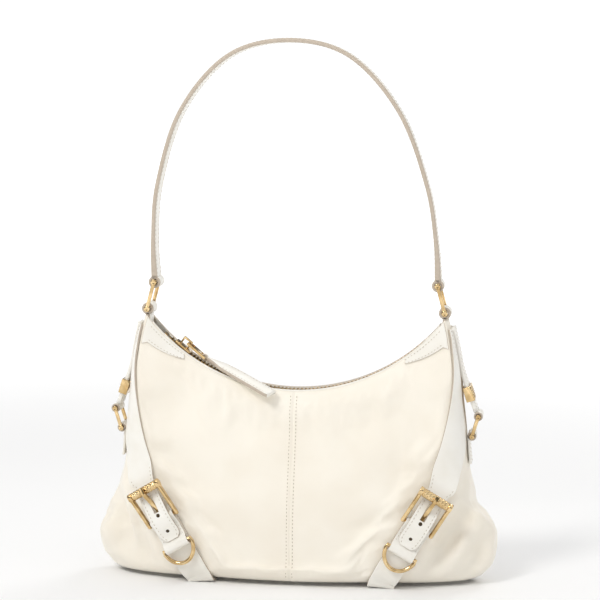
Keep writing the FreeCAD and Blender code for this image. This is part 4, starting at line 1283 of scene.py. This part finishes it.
# %% [markdown]
# ## Zip tapes, lining and base
# The tapes are narrow ribbed bands on the mouth's arc. The lining follows the outer fabric a little
# further in, and still touches it in the deepest folds. The slip pocket follows the back wall's
# planned line and not the settled fabric, so it comes through the back panel in places.
# %% Zip tapes
for end, back in both_ends:
    rows = []
    for i in range(61):
        a = -45 + 90 * i / 60
        rows.append([real(on_arc(Vector((0, -y, arc_height - zip_radius)), a), back=back)
                     for y in (5.55, 4.9, 4.2, 3.5)])
    bm = sheet_of(rows)
    outward(bm, Vector((0, 0, 1)))
    walled(piece("zip_tape_woven_" + end, bm, (zip_cloth,), "bag", ("zip_tape_" + end,)),
           0.8, 0.0, rim=0)
print("zip tapes laid")

# %% Lining and pocket
bm = copy_of(bag_fabric.data)
bmesh.ops.unsubdivide(bm, verts=bm.verts[:], iterations=2)
bm.normal_update()
shift = {v: v.normal.copy() for v in bm.verts}
for v in bm.verts:
    v.co -= shift[v] * 2.4 * MM
    v.co.z = min(max(v.co.z, (floor_lift + 5.5) * MM), (mouth_z(v.co.x / MM) + floor_lift - 9.5) * MM)
bmesh.ops.reverse_faces(bm, faces=bm.faces[:])
piece("lining_cotton", bm, (cotton,), "bag", ("lining",))
low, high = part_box("inner_pocket")
rows = []
for i in range(17):
    x = (low.x + (high.x - low.x) * i / 16) / MM
    heights = [(low.z + (high.z - low.z) * k / 10) / MM - floor_lift for k in range(11)]
    rows.append([on_face(x, z, -7.0, back=True) for z in heights])
bm = sheet_of(rows)
outward(bm, Vector((0, -1, 0)))
walled(piece("slip_pocket", bm, (cotton,), "bag", ("inner_pocket",)), 0.6, -1.0, rim=0)
print("lining hung")

# %% Base
outline = []
for k in range(160):
    half_turn, step = divmod(k, 80)
    p = face_point(-1 + step / 20, 0) if step < 40 else side_point(-1 + (step - 40) / 20, 0.0)
    outline.append(Vector((-p.x, -p.y, 0)) if half_turn else Vector((p.x, p.y, 0)))
bm = bmesh.new()
bmesh.ops.create_circle(bm, cap_ends=True, segments=160, radius=1.0)
for k, v in enumerate(sorted(bm.verts, key=lambda v: v.index)):
    v.co = real(outline[k] + Vector((0, 0, 0.05)))
bmesh.ops.recalc_face_normals(bm, faces=bm.faces)
outward(bm, Vector((0, 0, -1)))
walled(piece("base_cloth", bm, (nylon,), "bag", ("base_panel",)), 1.4, -1.0, rim=0)
finished("base_board", 0.3, board)
print("base closed")

# %% [markdown]
# ## Floor and light
# A white product table, one large soft light from the upper left, a weaker one from the right, one
# behind, and a bright even sky give the pale, almost shadowless picture of a studio. The table is
# one round disc that glows a little more the farther out it goes, so it meets the white horizon
# without a line, whichever side the bag is looked at from.
# %% Table
bm = bmesh.new()
bmesh.ops.create_circle(bm, cap_ends=True, segments=96, radius=12.0)
mesh = bpy.data.meshes.new("floor")
bm.to_mesh(mesh)
bm.free()
floor = bpy.data.objects.new("floor", mesh)
table = Finish("white_table", Specular_IOR_Level=0.1, Emission_Strength=1.0)
table.colour(table.noise(300.0), (0.90, 0.90, 0.90), (0.92, 0.92, 0.92))
table.rough(table.noise(80.0) * 0.1 + 0.8)
reach = table.node("ShaderNodeVectorMath", {"operation": "LENGTH"}, {0: table.place}, "Value")
table.set("Emission Color", table.mix(reach.over(0.5, 2.0), (0.0, 0.0, 0.0), (0.50, 0.505, 0.515)))
mesh.materials.append(table.material)
scene.collection.objects.link(floor)


def lamp(name, place, size, power, colour=(1, 1, 1)):
    light = bpy.data.lights.new(name, "AREA")
    light.shape = "DISK"
    light.size = size
    light.energy = power
    light.color = colour
    made = bpy.data.objects.new(name, light)
    made.location = place
    made.rotation_euler = (Vector((0, 0, 0.15)) - Vector(place)).to_track_quat("-Z", "Y").to_euler()
    scene.collection.objects.link(made)


lamp("key", (-0.8, -1.2, 1.6), 0.6, 13.0, (1.0, 0.985, 0.96))
lamp("fill", (1.6, -0.9, 0.8), 0.8, 1.0)
lamp("back", (0.8, 1.2, 1.5), 0.8, 6.0)
world = bpy.data.worlds.new("studio")
world.use_nodes = True
sky = world.node_tree
place = sky.nodes.new("ShaderNodeTexCoord")
split = sky.nodes.new("ShaderNodeSeparateXYZ")
shade = sky.nodes.new("ShaderNodeValToRGB")
for k, (spot, level) in enumerate(((0.57, 1.2), (0.60, 0.16), (0.72, 0.20), (0.79, 1.05))):
    stop = shade.color_ramp.elements[k] if k < 2 else shade.color_ramp.elements.new(spot)
    stop.position = spot
    stop.color = (level, level, level, 1)
lift = sky.nodes.new("ShaderNodeMath")
lift.operation = "MULTIPLY_ADD"
lift.inputs[1].default_value = lift.inputs[2].default_value = 0.5
sky.links.new(place.outputs["Generated"], split.inputs[0])
sky.links.new(split.outputs["Z"], lift.inputs[0])
sky.links.new(lift.outputs[0], shade.inputs[0])
sky.links.new(shade.outputs[0], sky.nodes["Background"].inputs["Color"])
sky.nodes["Background"].inputs["Strength"].default_value = 0.90
scene.world = world
print("studio lit")
